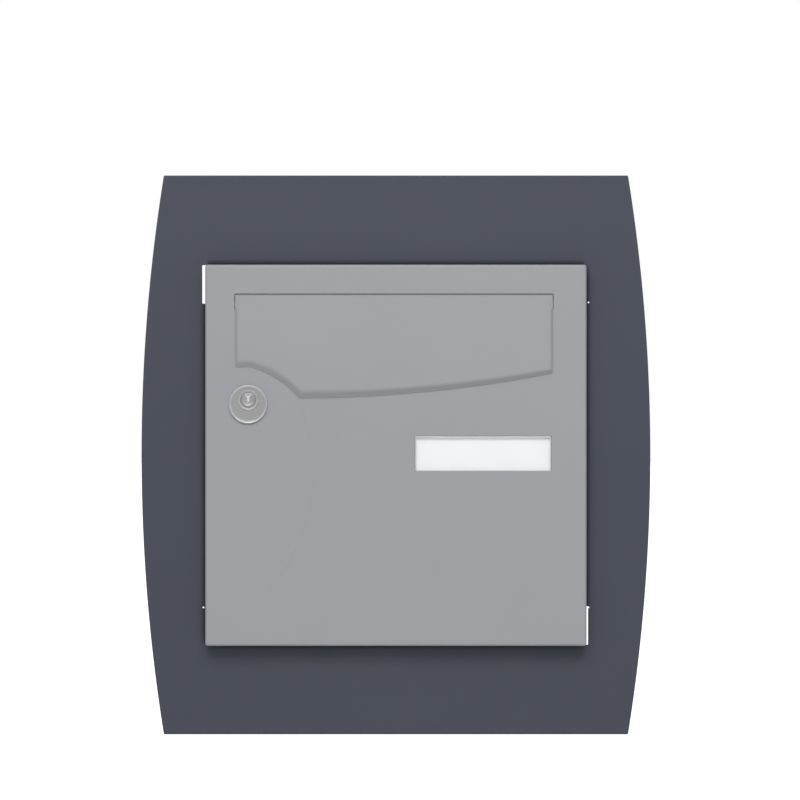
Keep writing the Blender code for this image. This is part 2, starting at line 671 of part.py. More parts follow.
def inset_ends(outline, inset, top):
    """Moves the sides inwards by inset, and cuts the outline off at the height top."""
    low, high = MOUTH_LEFT + FLAP_GAP + inset, MOUTH_RIGHT - FLAP_GAP - inset
    return [(min(max(x, low), high), min(z, top)) for x, z in outline]


def flap_hood():
    """The (y, z) section of the flap's upper part: a plate that rolls back round the axis at its top."""
    first = math.pi - math.asin(shoulder_height() / HOOD_RADIUS)
    face_y = FLAP_AXIS_Y - HOOD_RADIUS * math.cos(math.pi - first)
    low_z = FLAP_AXIS_Z - 4 * mm
    axis = (FLAP_AXIS_Y, FLAP_AXIS_Z)
    outer = arc(axis, HOOD_RADIUS, first, math.pi / 2, 6)
    inner_radius = HOOD_RADIUS - FLAP_WALL
    inner_last = math.pi - math.acos((FLAP_AXIS_Y - face_y - FLAP_WALL) / inner_radius)
    inner = arc(axis, inner_radius, math.pi / 2, inner_last, 6)
    return [(face_y, low_z)] + outer + inner + [(face_y + FLAP_WALL, low_z)]


def mail_flap(flap_axis):
    """A pressed cover over the slot: a raised face, a bevelled lower edge, a hollow back and a rolled top."""
    top = FLAP_AXIS_Z + shoulder_height() - 0.3 * mm
    rim_y = DOOR_FRONT - GAP
    margin = FLAP_OVERLAP + 1.2 * mm
    base = inset_ends(mouth_outline(-FLAP_GAP), 0, top)
    face = inset_ends(mouth_outline(-FLAP_GAP, FLAP_BEVEL, 0.8 * FLAP_BEVEL), FLAP_END_BEVEL, top - 0.3 * mm)
    hollow_rim = inset_ends(mouth_outline(-FLAP_GAP, margin), margin, HOLLOW_TOP)
    hollow_end = inset_ends(mouth_outline(-FLAP_GAP, margin + 1 * mm), margin + 1 * mm, HOLLOW_TOP - 1 * mm)
    bm = bmesh.new()
    rings = [
        [bm.verts.new((x, DOOR_FRONT - flap_proud(z), z)) for x, z in face],
        [bm.verts.new((x, rim_y - 0.4 * mm, z)) for x, z in base],
        [bm.verts.new((x, rim_y, z)) for x, z in base],
        [bm.verts.new((x, rim_y, z)) for x, z in hollow_rim],
        [bm.verts.new((x, DOOR_FRONT - flap_proud(z) + FLAP_WALL, z)) for x, z in hollow_end],
    ]
    bm.faces.new(rings[0])
    bm.faces.new(rings[-1][::-1])
    for outer, inner in zip(rings, rings[1:]):
        for i in range(len(outer)):
            j = (i + 1) % len(outer)
            bm.faces.new((outer[i], outer[j], inner[j], inner[i]))
    axis = (0, FLAP_AXIS_Y, FLAP_AXIS_Z)
    flap = place_object("mail_flap", bm, "grey_paint", axis, flap_axis)
    hood = bmesh.new()
    section = flap_hood()
    left, right = MOUTH_LEFT + FLAP_GAP + 0.2 * mm, MOUTH_RIGHT - FLAP_GAP - 0.2 * mm
    ends = [[hood.verts.new((x, y, z)) for y, z in section] for x in (left, right)]
    hood.faces.new(ends[0])
    hood.faces.new(ends[1][::-1])
    for i in range(len(section)):
        j = (i + 1) % len(section)
        hood.faces.new((ends[0][i], ends[0][j], ends[1][j], ends[1][i]))
    join(flap, "hood", hood)
    ears = bmesh.new()
    for x in EAR_XS:
        low = (x, DOOR_FRONT - 0.2 * mm, FLAP_AXIS_Z - 4 * mm)
        add_block(ears, low, (x + EAR_THICK, FLAP_AXIS_Y, FLAP_AXIS_Z + 4 * mm))
        add_rod(ears, (x, *axis[1:]), (x + EAR_THICK, *axis[1:]), EAR_RADIUS)
    join(flap, "ears", ears)
    bore = bmesh.new()
    add_rod(bore, (MOUTH_LEFT, *axis[1:]), (MOUTH_RIGHT, *axis[1:]), AXLE_RADIUS + GAP, 20)
    cut(flap, "axle_bore", bore)


def flap_axle(door_axis):
    bm = bmesh.new()
    centre = (0, FLAP_AXIS_Y, FLAP_AXIS_Z)
    profile = [
        (0, -124.5 * mm), (1.1 * mm, -124.5 * mm), (AXLE_RADIUS, -124 * mm), (AXLE_RADIUS, 122.5 * mm),
        (1.1 * mm, 123 * mm), (0, 123 * mm),
    ]
    add_turned(bm, centre, (1, 0, 0), profile, 20)
    place_object("flap_axle", bm, "zinc_steel", centre, door_axis)


def axle_brackets(door_axis):
    """Small angles behind the door's sheet, one at each end of the axle. A notch clears each clip."""
    leaf_y = DOOR_FRONT + DOOR_SHEET + GAP
    low_z, high_z = FLAP_AXIS_Z - 8 * mm, FLAP_AXIS_Z + 8 * mm
    for name, x, side, leaf_end in zip(("left", "right"), BRACKET_XS, (-1, 1), (-133 * mm, 130 * mm)):
        bm = bmesh.new()
        add_block(bm, (x, leaf_y, low_z), (x + BRACKET_EAR, DOOR_FRONT + 9.4 * mm, high_z))
        origin = (x, FLAP_AXIS_Y, FLAP_AXIS_Z)
        bracket = place_object(f"axle_bracket_{name}", bm, "zinc_steel", origin, door_axis)
        leaf = bmesh.new()
        low_x, high_x = sorted((x + BRACKET_EAR / 3, leaf_end))
        add_block(leaf, (low_x, leaf_y, low_z), (high_x, leaf_y + LEAF_SHEET, high_z))
        join(bracket, "leaf", leaf)
        holes = bmesh.new()
        axle_radius, leg_radius = AXLE_RADIUS + GAP, 2 * SPRING_WIRE
        for y, radius in ((FLAP_AXIS_Y, axle_radius), (FLAP_AXIS_Y + SPRING_RADIUS, leg_radius)):
            add_hole(holes, (x, y, FLAP_AXIS_Z), radius, 16, "X")
        cut(bracket, "holes", holes)
        notch = bmesh.new()
        face = x if side < 0 else x + BRACKET_EAR
        low_x, high_x = sorted((face, face + side * 5 * mm))
        low = (low_x, leaf_y - 1 * mm, FLAP_AXIS_Z - 3 * mm)
        add_block(notch, low, (high_x, leaf_y + 5 * mm, FLAP_AXIS_Z + 3 * mm))
        cut(bracket, "clip_notch", notch)


def axle_clips(door_axis):
    """Push-on retaining rings outside the brackets."""
    outer_faces = (BRACKET_XS[0] - GAP, BRACKET_XS[1] + BRACKET_EAR + GAP)
    for name, x, side in zip(("left", "right"), outer_faces, (-1, 1)):
        centre = (x, FLAP_AXIS_Y, FLAP_AXIS_Z)
        inner = AXLE_RADIUS + 0.25 * mm
        profile = [(inner, 0), (2.3 * mm, 0), (2.3 * mm, 0.5 * mm), (inner, 0.9 * mm)]
        bm = bmesh.new()
        add_turned(bm, centre, (side, 0, 0), profile, 20)
        place_object(f"axle_clip_{name}", bm, "zinc_steel", centre, door_axis)


def spring_path():
    """A leg up the back of the flap, turns round the axle, and a leg through the right bracket."""
    axis = Vector((0, FLAP_AXIS_Y, FLAP_AXIS_Z))
    steps = round(SPRING_TURNS * 16)
    points = [axis + Vector((SPRING_START_X, -SPRING_RADIUS, rise)) for rise in (4.2 * mm, 2 * mm)]
    for i in range(steps + 1):
        angle = math.pi + 2 * math.pi * SPRING_TURNS * i / steps
        x = SPRING_START_X + (SPRING_END_X - SPRING_START_X) * i / steps
        points.append(axis + Vector((x, SPRING_RADIUS * math.cos(angle), SPRING_RADIUS * math.sin(angle))))
    return points + [axis + Vector((x, SPRING_RADIUS, 0)) for x in (111 * mm, 121.6 * mm)]


def flap_spring(door_axis):
    curve = bpy.data.curves.new("flap_spring", "CURVE")
    curve.dimensions = "3D"
    curve.bevel_depth = SPRING_WIRE
    curve.bevel_resolution = 1
    curve.use_fill_caps = True
    points = spring_path()
    spline = curve.splines.new("POLY")
    spline.points.add(len(points) - 1)
    origin = Vector((SPRING_START_X, FLAP_AXIS_Y, FLAP_AXIS_Z))
    for target, point in zip(spline.points, points):
        target.co = (*(point - origin), 1)
    spring = bpy.data.objects.new("flap_spring", curve)
    bpy.context.scene.collection.objects.link(spring)
    spring.parent = door_axis
    spring.location = origin - door_axis.matrix_world.translation
    curve.materials.append(paint("zinc_steel"))


# Name plate


def name_plate(door_axis):
    x, z = NAME_CENTRE
    half_x, half_z = NAME_SIZE[0] / 2, NAME_SIZE[1] / 2
    front = DOOR_FRONT - 0.6 * mm
    bm = bmesh.new()
    add_block(bm, (x - half_x, front, z - half_z), (x + half_x, front + WINDOW_SHEET, z + half_z))
    round_edges(bm, lambda a, b: max(a.y, b.y) < front + 1 * mm, 0.6 * mm, 1)
    place_object("name_window", bm, "clear_plastic", (x, front, z), door_axis)
    card_y = front + WINDOW_SHEET + GAP
    bm = bmesh.new()
    add_block(bm, (x - half_x, card_y, z - half_z), (x + half_x, card_y + CARD_SHEET, z + half_z))
    place_object("name_card", bm, "white_card", (x, card_y, z), door_axis)
    holder_front = DOOR_FRONT + DOOR_SHEET + GAP
    holder_back = holder_front + HOLDER_SHEET
    outer_x, outer_z = half_x + HOLDER_MARGIN, half_z + HOLDER_MARGIN
    bm = bmesh.new()
    add_block(bm, (x - outer_x, holder_front, z - outer_z), (x + outer_x, holder_back, z + outer_z))
    round_edges(bm, lambda a, b: abs(a.y - b.y) > 1 * mm, 2 * mm, 3)
    holder = place_object("name_holder", bm, "grey_plastic", (x, holder_front, z), door_axis)
    pocket = bmesh.new()
    add_block(
        pocket, (x - half_x - GAP, holder_front - 5 * mm, z - half_z - GAP),
        (x + half_x + GAP, card_y + CARD_SHEET + GAP, z + half_z + GAP),
    )
    finger_x, finger_z = 8 * mm, 5 * mm
    low = (x - finger_x, holder_front - 5 * mm, z - finger_z)
    add_block(pocket, low, (x + finger_x, holder_back + 5 * mm, z + finger_z))
    cut(holder, "pocket", pocket)


# Lock


def lock_fixed_parts(door_axis):
    """The dished rosette, the housing through the door and its nut."""
    front = DOOR_FRONT - GAP
    centre = (LOCK_X, front, ROSETTE_Z)
    rim = [(ROSETTE_RADIUS - 0.2 * mm, 0), (ROSETTE_RADIUS, 0.5 * mm)]
    dish = scaled([(13.8, 1.7), (13.2, 1.7), (12.2, 0.8), (0, 0.7)])
    profile = [(0, 0)] + rim + dish
    bm = bmesh.new()
    add_turned(bm, centre, (0, -1, 0), profile, 40)
    rosette = place_object("lock_rosette", bm, "grey_plastic", centre, door_axis)
    hole = bmesh.new()
    add_hole(hole, (LOCK_X, front, LOCK_Z), HOUSING_HOLE, 32)
    cut(rosette, "housing_hole", hole)

    centre = (LOCK_X, DOOR_FRONT, LOCK_Z)
    bore = PLUG_RADIUS + 0.3 * mm
    profile = [
        (bore, 17.4 * mm), (HOUSING_RADIUS, 17.4 * mm), (HOUSING_RADIUS, -1.2 * mm), (6.9 * mm, -1.7 * mm),
        (6.6 * mm, -1.7 * mm), (bore, -1.0 * mm),
    ]
    bm = bmesh.new()
    add_turned(bm, centre, (0, 1, 0), profile, 32)
    place_object("lock_housing", bm, "lock_metal", centre, door_axis)

    nut_front = DOOR_FRONT + DOOR_SHEET + GAP
    bm = bmesh.new()
    add_rod(bm, (LOCK_X, nut_front, LOCK_Z), (LOCK_X, nut_front + 4 * mm, LOCK_Z), 12.7 * mm, 6)
    nut = place_object("lock_nut", bm, "zinc_steel", (LOCK_X, nut_front, LOCK_Z), door_axis)
    hole = bmesh.new()
    add_hole(hole, (LOCK_X, nut_front, LOCK_Z), HOUSING_HOLE, 32)
    cut(nut, "thread_hole", hole)


def lock_moving_parts(lock_axis):
    """The plug with its keyway, the cam on its square tail, and the screw that holds the cam."""
    centre = (LOCK_X, DOOR_FRONT, LOCK_Z)
    bm = bmesh.new()
    tail_start = CAM_FRONT - DOOR_FRONT - GAP
    face = scaled([(0, -0.6), (5.2, -0.6)])
    profile = face + [(PLUG_RADIUS, -0.2 * mm), (PLUG_RADIUS, tail_start), (0, tail_start)]
    add_turned(bm, centre, (0, 1, 0), profile, 32)
    plug = place_object("lock_plug", bm, "lock_metal", centre, lock_axis)
    tail = bmesh.new()
    low = (LOCK_X - TAIL_HALF, DOOR_FRONT + tail_start - 3 * mm, LOCK_Z - TAIL_HALF)
    add_block(tail, low, (LOCK_X + TAIL_HALF, CAM_FRONT + CAM_SHEET, LOCK_Z + TAIL_HALF))
    join(plug, "square_tail", tail)
    slots = bmesh.new()
    keyway_end = DOOR_FRONT + 9 * mm
    for low_x, high_x, low_z, high_z in ((-0.6, 0.6, -3, 4), (-1.1, -0.4, 0.8, 2.2)):
        low = (LOCK_X + low_x * mm, DOOR_FRONT - 5 * mm, LOCK_Z + low_z * mm)
        add_block(slots, low, (LOCK_X + high_x * mm, keyway_end, LOCK_Z + high_z * mm))
    add_rod(slots, (LOCK_X, CAM_FRONT - 4 * mm, LOCK_Z), (LOCK_X, CAM_FRONT + 9 * mm, LOCK_Z), 1.9 * mm, 16)
    cut(plug, "keyway", slots)

    bm = bmesh.new()
    low_end_z = LOCK_Z - CAM_LENGTH + CAM_HALF_WIDTH
    rounded_end = arc((LOCK_X, low_end_z), CAM_HALF_WIDTH, math.pi, 2 * math.pi, 10)
    top_end = arc((LOCK_X, LOCK_Z), CAM_HALF_WIDTH, 0, math.pi, 10)
    add_prism(bm, rounded_end + top_end, CAM_FRONT, CAM_FRONT + CAM_SHEET)
    cam = place_object("lock_cam", bm, "zinc_steel", (LOCK_X, CAM_FRONT, LOCK_Z), lock_axis)
    hole = bmesh.new()
    half = TAIL_HALF + 0.25 * mm
    low = (LOCK_X - half, CAM_FRONT - 5 * mm, LOCK_Z - half)
    add_block(hole, low, (LOCK_X + half, CAM_FRONT + 7 * mm, LOCK_Z + half))
    cut(cam, "square_hole", hole)

    seat = (LOCK_X, CAM_FRONT + CAM_SHEET + GAP, LOCK_Z)
    profile = scaled([(0, -5), (1.6, -5), (1.6, 0), (5.2, 0), (5.2, 0.9), (4.0, 2.2), (0, 2.8)])
    bm = bmesh.new()
    add_turned(bm, seat, (0, 1, 0), profile, 20)
    screw = place_object("cam_screw", bm, "zinc_steel", seat, lock_axis)
    cross = bmesh.new()
    for half_x, half_z in ((2.6 * mm, 0.5 * mm), (0.5 * mm, 2.6 * mm)):
        low = (LOCK_X - half_x, seat[1] + 1.6 * mm, LOCK_Z - half_z)
        add_block(cross, low, (LOCK_X + half_x, seat[1] + 9 * mm, LOCK_Z + half_z))
    cut(screw, "cross_slot", cross)


def main():
    clear_scene()
    surround_plate()
    plate_screws()
    clamp_frame()
    clamp_studs_and_nuts()
    front_frame()
    letter_box()
    back_panel()
    back_rivets()
    hinge_brackets()
    hinge_rivets()
    hinge_pins()
    bumpers()
    weather_strip()
    door_axis = axis_empty("door_hinge_axis", (HINGE_X, HINGE_Y, 0))
    flap_hinge = axis_empty("flap_hinge_axis", (0, FLAP_AXIS_Y, FLAP_AXIS_Z), door_axis)
    lock_axis = axis_empty("lock_axis", (LOCK_X, DOOR_FRONT, LOCK_Z), door_axis)
    hinge_bushes(door_axis)
    door_panel(door_axis)
    door_hem(door_axis)
    mail_flap(flap_hinge)
    flap_axle(door_axis)
    axle_brackets(door_axis)
    axle_clips(door_axis)
    flap_spring(door_axis)
    name_plate(door_axis)
    lock_fixed_parts(door_axis)
    lock_moving_parts(lock_axis)


main()
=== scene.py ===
"""The looks of a mailbox whose folded steel box passes through a curved surround plate.

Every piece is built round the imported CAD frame: +Z up, the front faces -Y, and metres throughout. Each
sub-part has its own function, grouped by the body that it moves with.
"""

import json
import math

import bmesh
import bpy
from mathutils import Matrix, Vector


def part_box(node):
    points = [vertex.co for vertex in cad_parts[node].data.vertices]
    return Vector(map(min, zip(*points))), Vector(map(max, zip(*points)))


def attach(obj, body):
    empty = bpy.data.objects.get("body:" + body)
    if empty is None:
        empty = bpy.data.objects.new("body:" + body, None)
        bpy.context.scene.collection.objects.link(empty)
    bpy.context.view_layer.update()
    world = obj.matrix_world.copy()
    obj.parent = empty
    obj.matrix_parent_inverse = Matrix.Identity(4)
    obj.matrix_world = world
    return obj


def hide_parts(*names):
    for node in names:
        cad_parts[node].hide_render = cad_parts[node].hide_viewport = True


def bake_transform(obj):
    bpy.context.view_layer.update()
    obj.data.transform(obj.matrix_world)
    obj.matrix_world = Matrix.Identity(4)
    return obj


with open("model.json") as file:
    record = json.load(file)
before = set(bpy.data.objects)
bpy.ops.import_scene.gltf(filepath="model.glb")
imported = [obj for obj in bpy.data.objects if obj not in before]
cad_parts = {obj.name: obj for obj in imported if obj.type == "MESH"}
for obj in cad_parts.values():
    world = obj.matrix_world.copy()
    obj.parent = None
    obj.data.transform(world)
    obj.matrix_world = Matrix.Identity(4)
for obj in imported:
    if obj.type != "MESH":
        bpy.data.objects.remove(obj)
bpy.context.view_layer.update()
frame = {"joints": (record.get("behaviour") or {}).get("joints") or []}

mm = 0.001
X, Y, Z = Vector((1, 0, 0)), Vector((0, 1, 0)), Vector((0, 0, 1))
THREAD_PITCH = 1 * mm
JOINTS = {joint["name"]: joint for joint in frame["joints"]}
HINGE = Vector(JOINTS["door_hinge"]["pos_m"])
FLAP_AXIS = Vector(JOINTS["flap_hinge"]["pos_m"])
LOCK = Vector(JOINTS["lock_turn"]["pos_m"])

PLATE_LOW, PLATE_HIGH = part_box("surround_plate")
PLATE_FRONT = PLATE_LOW.y
PLATE_SHEET = 2 * mm
PLATE_BULGE = 16.5 * mm
OPENING_HALF = 136.5 * mm
GUIDE_HALF_X, GUIDE_HALF_Z = 104 * mm, 110.4 * mm
NOTCH_START, NOTCH_END = 111.8 * mm, 140.3 * mm
NOTCH_NARROW = 140.5 * mm
NOTCH_REACH = {(-1, 1): 143.2 * mm, (1, -1): 142 * mm, (1, 1): NOTCH_NARROW, (-1, -1): NOTCH_NARROW}
RELIEF_X, RELIEF_Z, RELIEF_RADIUS = 142.3 * mm, 112.7 * mm, 0.65 * mm
FOLD_RADIUS = 8 * mm
LIP_HALF = 139 * mm

DOOR_LOW, DOOR_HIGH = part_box("door_panel")
DOOR_FRONT, DOOR_BACK = DOOR_LOW.y, DOOR_HIGH.y
DOOR_HALF = DOOR_HIGH.x
DOOR_SHEET = 1.2 * mm
DOOR_HEM = 8.8 * mm
LOCK_FACE = Vector((LOCK.x, DOOR_FRONT, LOCK.z))

BOX_LOW, BOX_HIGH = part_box("letter_box")
BOX_LOW.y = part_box("box_front_frame")[0].y
BOX_FRONT, BOX_HALF = BOX_LOW.y, BOX_HIGH.x
BOX_SHEET, BOX_FLANGE = 1 * mm, 10 * mm
RIVET_HOLE = 2.3 * mm
HINGE_RELIEF_X = 108 * mm  # the box's flange and the door's hem stop here, clear of the hinge brackets
HINGE_CUT_Z = 129 * mm     # beyond this height, the door's right side is cut away round the brackets

FLAP_LOW, FLAP_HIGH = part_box("mail_flap")
FLAP_GAP = 0.4 * mm
FLAP_OVERLAP = 3 * mm
MOUTH_LEFT, MOUTH_RIGHT = FLAP_LOW.x - FLAP_GAP, FLAP_HIGH.x + FLAP_GAP
MOUTH_TOP = FLAP_AXIS.z + 7 * mm
MOUTH_LEFT_FOOT, MOUTH_RIGHT_FOOT = 64.3 * mm, 59.8 * mm
LOCK_ARC_CENTRE, LOCK_ARC_RADIUS = (-123.8 * mm, -1.8 * mm), 68.3 * mm
LOCK_ARC_START_X, TIP_X = -107.5 * mm, -70.8 * mm
LOWER_ARC_SAG = 4.3 * mm
FLAP_PROUD_TOP, FLAP_PROUD_FOOT = 1.0 * mm, 3.0 * mm
FLAP_WALL = 1.2 * mm
HOOD_RADIUS = 7.3 * mm
HOLLOW_TOP = 96 * mm
SPLIT_Z = FLAP_AXIS.z - 4.5 * mm


# Shapes


def scaled(pairs):
    """A profile given in millimetres, in metres."""
    return [tuple(value * mm for value in pair) for pair in pairs]


def softened(points, radius, steps=3, closed=True, only=None):
    """The 2D path with its corners rounded. only lists the corners to round, or None for all."""
    count = len(points)
    result = []
    for i, point in enumerate(points):
        inner = closed or 0 < i < count - 1
        if not inner or (only is not None and i not in only):
            result.append(tuple(point))
            continue
        here = Vector(point)
        before, after = Vector(points[i - 1]) - here, Vector(points[(i + 1) % count]) - here
        if min(before.length, after.length) < 1e-7:
            result.append(tuple(point))
            continue
        turn = before.angle(after)
        reach = min(radius / max(math.tan(turn / 2), 1e-3), 0.45 * before.length, 0.45 * after.length)
        start, end = here + before.normalized() * reach, here + after.normalized() * reach
        for step in range(steps + 1):
            t = step / steps
            result.append(tuple(start * (1 - t) ** 2 + here * 2 * t * (1 - t) + end * t**2))
    return result


def arc(centre, radius, start, end, steps):
    angles = [start + (end - start) * i / steps for i in range(steps + 1)]
    return [(centre[0] + radius * math.cos(a), centre[1] + radius * math.sin(a)) for a in angles]


def sagged_arc(start, end, sag, steps):
    """The shallow arc from start to end that bows to the right of that direction by sag."""
    start, end = Vector(start), Vector(end)
    chord = end - start
    radius = (chord.length**2 / 4 + sag**2) / (2 * sag)
    side = Vector((chord.y, -chord.x)).normalized()
    centre = (start + end) / 2 - side * (radius - sag)
    first = math.atan2(start.y - centre.y, start.x - centre.x)
    half = math.asin(chord.length / 2 / radius)
    return arc(centre, radius, first, first + 2 * half, steps)


def rectangle(low_x, low_z, high_x, high_z, radius=0.0, steps=5, only=None):
    corners = [(low_x, low_z), (high_x, low_z), (high_x, high_z), (low_x, high_z)]
    return softened(corners, radius, steps, only=only) if radius else corners


def square(half, radius):
    return rectangle(-half, -half, half, half, radius)


def box_outline(node, inset, corner, steps=5):
    """The (x, z) outline of a CAD node's box, moved inwards by inset."""
    low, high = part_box(node)
    return rectangle(low.x + inset, low.z + inset, high.x - inset, high.z - inset, corner, steps)


def middle_of(node, **changed):
    """The middle of a CAD node's box, with the coordinates given by name in place of its own."""
    low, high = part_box(node)
    middle = (low + high) / 2
    for axis, value in changed.items():
        setattr(middle, axis, value)
    return middle


def chamfered(low, high, lip):
    """(inset, level) of the four outlines of a sheet whose two edges are chamfered by lip."""
    return [(lip, low), (0, low + lip), (0, high - lip), (lip, high)]


def drawn_in(outline, centre, amount):
    """The outline with each of its points moved towards centre by amount."""
    return [Vector(p) + (centre - Vector(p)).normalized() * amount for p in outline]


def shape(add, *values):
    """A new bmesh that holds what one of the add functions makes."""
    bm = bmesh.new()
    add(bm, *values)
    return bm


def add_loft(bm, rings, ends=True):
    """Adds a skin over closed rings of equally many points, with a face over the first and the last."""
    loops = [[bm.verts.new(point) for point in ring] for ring in rings]
    for lower, upper in zip(loops, loops[1:]):
        for i in range(len(lower)):
            j = (i + 1) % len(lower)
            bm.faces.new((lower[i], lower[j], upper[j], upper[i]))
    if ends:
        bm.faces.new(loops[0])
        bm.faces.new(loops[-1][::-1])
    return loops


def add_layers(bm, layers):
    """Adds a loft along Y. Each layer is (outline of (x, z) points, y)."""
    add_loft(bm, [[(x, y, z) for x, z in outline] for outline, y in layers])


def add_prism(bm, outline, low, high):
    """Adds the outline's shape from low to high along Y."""
    add_layers(bm, [(outline, low), (outline, high)])


def add_block(bm, low, high):
    low, high = Vector(low), Vector(high)
    matrix = Matrix.Translation((low + high) / 2) @ Matrix.Diagonal((*(high - low), 1))
    bmesh.ops.create_cube(bm, size=1, matrix=matrix)


def add_rod(bm, start, end, radius, sides=32, radius_end=None):
    start, end = Vector(start), Vector(end)
    along = end - start
    matrix = Matrix.Translation((start + end) / 2) @ along.to_track_quat("Z", "Y").to_matrix().to_4x4()
    far = radius if radius_end is None else radius_end
    bmesh.ops.create_cone(
        bm, cap_ends=True, segments=sides, radius1=radius, radius2=far, depth=along.length, matrix=matrix
    )


def add_bore(bm, centre, axis, reach, radius, sides=32):
    """Adds a rod that reaches both ways from centre along axis, to be cut out."""
    centre = Vector(centre)
    add_rod(bm, centre - axis * reach, centre + axis * reach, radius, sides)


def add_bores(bm, nodes, axis, radius, reach=12 * mm):
    """Adds a bore along axis through the middle of each CAD node."""
    for node in nodes:
        add_bore(bm, middle_of(node), axis, reach, radius)


def slab(node, levels, corner, steps=5):
    """A bmesh like a CAD node's box, whose outline is moved inwards by inset at each (inset, y) level."""
    return shape(add_layers, [(box_outline(node, inset, corner, steps), y) for inset, y in levels])


def add_turned(bm, centre, direction, profile, sides=48):
    """Adds a turned shape from (radius, distance along direction) points. A profile that starts at
    radius 0 also ends there, and any other is a ring's whole section. A third value is the depth of a
    thread, whose groove winds round the shape once for each THREAD_PITCH."""
    turn = Vector(direction).to_track_quat("Z", "Y").to_matrix().to_4x4()
    matrix = Matrix.Translation(centre) @ turn
    rings = []
    for radius, height, *thread in profile:
        if radius == 0:
            rings.append([bm.verts.new(matrix @ Vector((0, 0, height)))])
            continue
        ring = []
        for i in range(sides):
            groove = 0
            if thread:
                phase = (height / THREAD_PITCH - i / sides) % 1
                groove = thread[0] * (1 - abs(2 * phase - 1))
            angle = 2 * math.pi * i / sides
            reach = radius - groove
            point = Vector((reach * math.cos(angle), reach * math.sin(angle), height))
            ring.append(bm.verts.new(matrix @ point))
        rings.append(ring)
    solid = profile[0][0] == 0
    pairs = zip(rings, rings[1:]) if solid else zip(rings, rings[1:] + rings[:1])
    for lower, upper in pairs:
        for i in range(sides):
            j = (i + 1) % sides
            corners = [(lower, i), (lower, j), (upper, j), (upper, i)]
            bm.faces.new(list(dict.fromkeys(ring[at % len(ring)] for ring, at in corners)))


def turned_path(points, radius):
    """An open profile given in millimetres, with its corners rounded."""
    return softened(scaled(points), radius, 3, False)


def thread(radius, start, end, depth=0.45 * mm):
    """Profile points of a thread from start to end, which fades in and out over one pitch."""
    steps = max(2, round(abs(end - start) / THREAD_PITCH * 6))
    points = []
    for i in range(steps + 1):
        height = start + (end - start) * i / steps
        fade = min(1, abs(height - start) / THREAD_PITCH, abs(height - end) / THREAD_PITCH)
        points.append((radius, height, depth * fade))
    return points


def round_edges(bm, chosen, radius, segments=4):
    edges = [e for e in bm.edges if chosen(e.verts[0].co, e.verts[1].co)]
    bmesh.ops.bevel(bm, geom=edges, offset=radius, segments=segments, affect="EDGES", profile=0.5)


def lengthwise(a, b):
    """Whether an edge from a to b runs from front to back."""
    return abs(a.y - b.y) > 5 * mm


def to_object(bm, name="shape"):
    bmesh.ops.recalc_face_normals(bm, faces=bm.faces)
    mesh = bpy.data.meshes.new(name)
    bm.to_mesh(mesh)
    bm.free()
    obj = bpy.data.objects.new(name, mesh)
    bpy.context.scene.collection.objects.link(obj)
    return obj


def combine(obj, bm, operation="DIFFERENCE"):
    """Cuts the shapes in bm out of obj's mesh, or joins them to it, at once."""
    tool = to_object(bm, "tool")
    boolean = obj.modifiers.new("combine", "BOOLEAN")
    boolean.operation = operation
    boolean.solver = "EXACT"
    boolean.use_self = True
    boolean.object = tool
    graph = bpy.context.evaluated_depsgraph_get()
    made = bpy.data.meshes.new_from_object(obj.evaluated_get(graph))
    obj.modifiers.clear()
    obj.data = made
    bpy.data.objects.remove(tool)


def break_edges(obj, width, least_angle=50, segments=2):
    """Rounds every sharp edge of the mesh a little, as a coat of paint or a deburring wheel does."""
    bm = bmesh.new()
    bm.from_mesh(obj.data)
    bmesh.ops.remove_doubles(bm, verts=bm.verts, dist=0.005 * mm)
    bmesh.ops.dissolve_limit(bm, angle_limit=math.radians(0.5), verts=bm.verts, edges=bm.edges)
    least = math.radians(least_angle)
    sharp = [e for e in bm.edges if len(e.link_faces) == 2 and e.calc_face_angle(0) > least]
    bmesh.ops.bevel(
        bm, geom=sharp, offset=width, segments=segments, affect="EDGES", profile=0.6, clamp_overlap=True
    )
    bm.to_mesh(obj.data)
    bm.free()


def piece(node, body, finish, made, *others, smooth=32):
    """Makes an object or a bmesh the visible piece of a CAD node, and of others. It rides on body.
    finish holds its materials, and then the record's slot, which is not used."""
    obj = made if isinstance(made, bpy.types.Object) else to_object(made)
    obj.name = f"{node}_look"
    *materials, slot = finish
    obj.data.materials.clear()
    for material in materials:
        obj.data.materials.append(material)
    obj.data.shade_smooth()
    obj.data.set_sharp_from_angle(angle=math.radians(smooth))
    weighted = obj.modifiers.new("even_shading", "WEIGHTED_NORMAL")
    weighted.keep_sharp = True
    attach(obj, body)
    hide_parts(node, *others)
    return obj


def use_second_material(obj, chosen):
    for face in obj.data.polygons:
        if chosen(face):
            face.material_index = 1


def turned_piece(node, centre, direction, profile, body, finish, sides=48, radius=0.25 * mm):
    """A turned piece that stands for the CAD node, with its corners rounded."""
    path = softened(profile, radius, 3, closed=profile[0][0] != 0)
    return piece(node, body, finish, shape(add_turned, centre, direction, path, sides))


# Materials


def shader_node(tree, kind, output, **inputs):
    """The output of a new shader node. An input that is a socket is linked, and any other is set."""
    made = tree.nodes.new("ShaderNode" + kind)
    for name, value in inputs.items():
        socket = made.inputs[name.replace("_", " ")]
        if isinstance(value, bpy.types.NodeSocket):
            tree.links.new(value, socket)
        else:
            socket.default_value = value
    return made.outputs[output]


def new_material(name, roughness, metallic=0.0, specular=0.5):
    made = bpy.data.materials.new(name)
    made.use_nodes = True
    shader = made.node_tree.nodes["Principled BSDF"]
    shader.inputs["Roughness"].default_value = roughness
    shader.inputs["Metallic"].default_value = metallic
    shader.inputs["Specular IOR Level"].default_value = specular
    return made, made.node_tree, shader


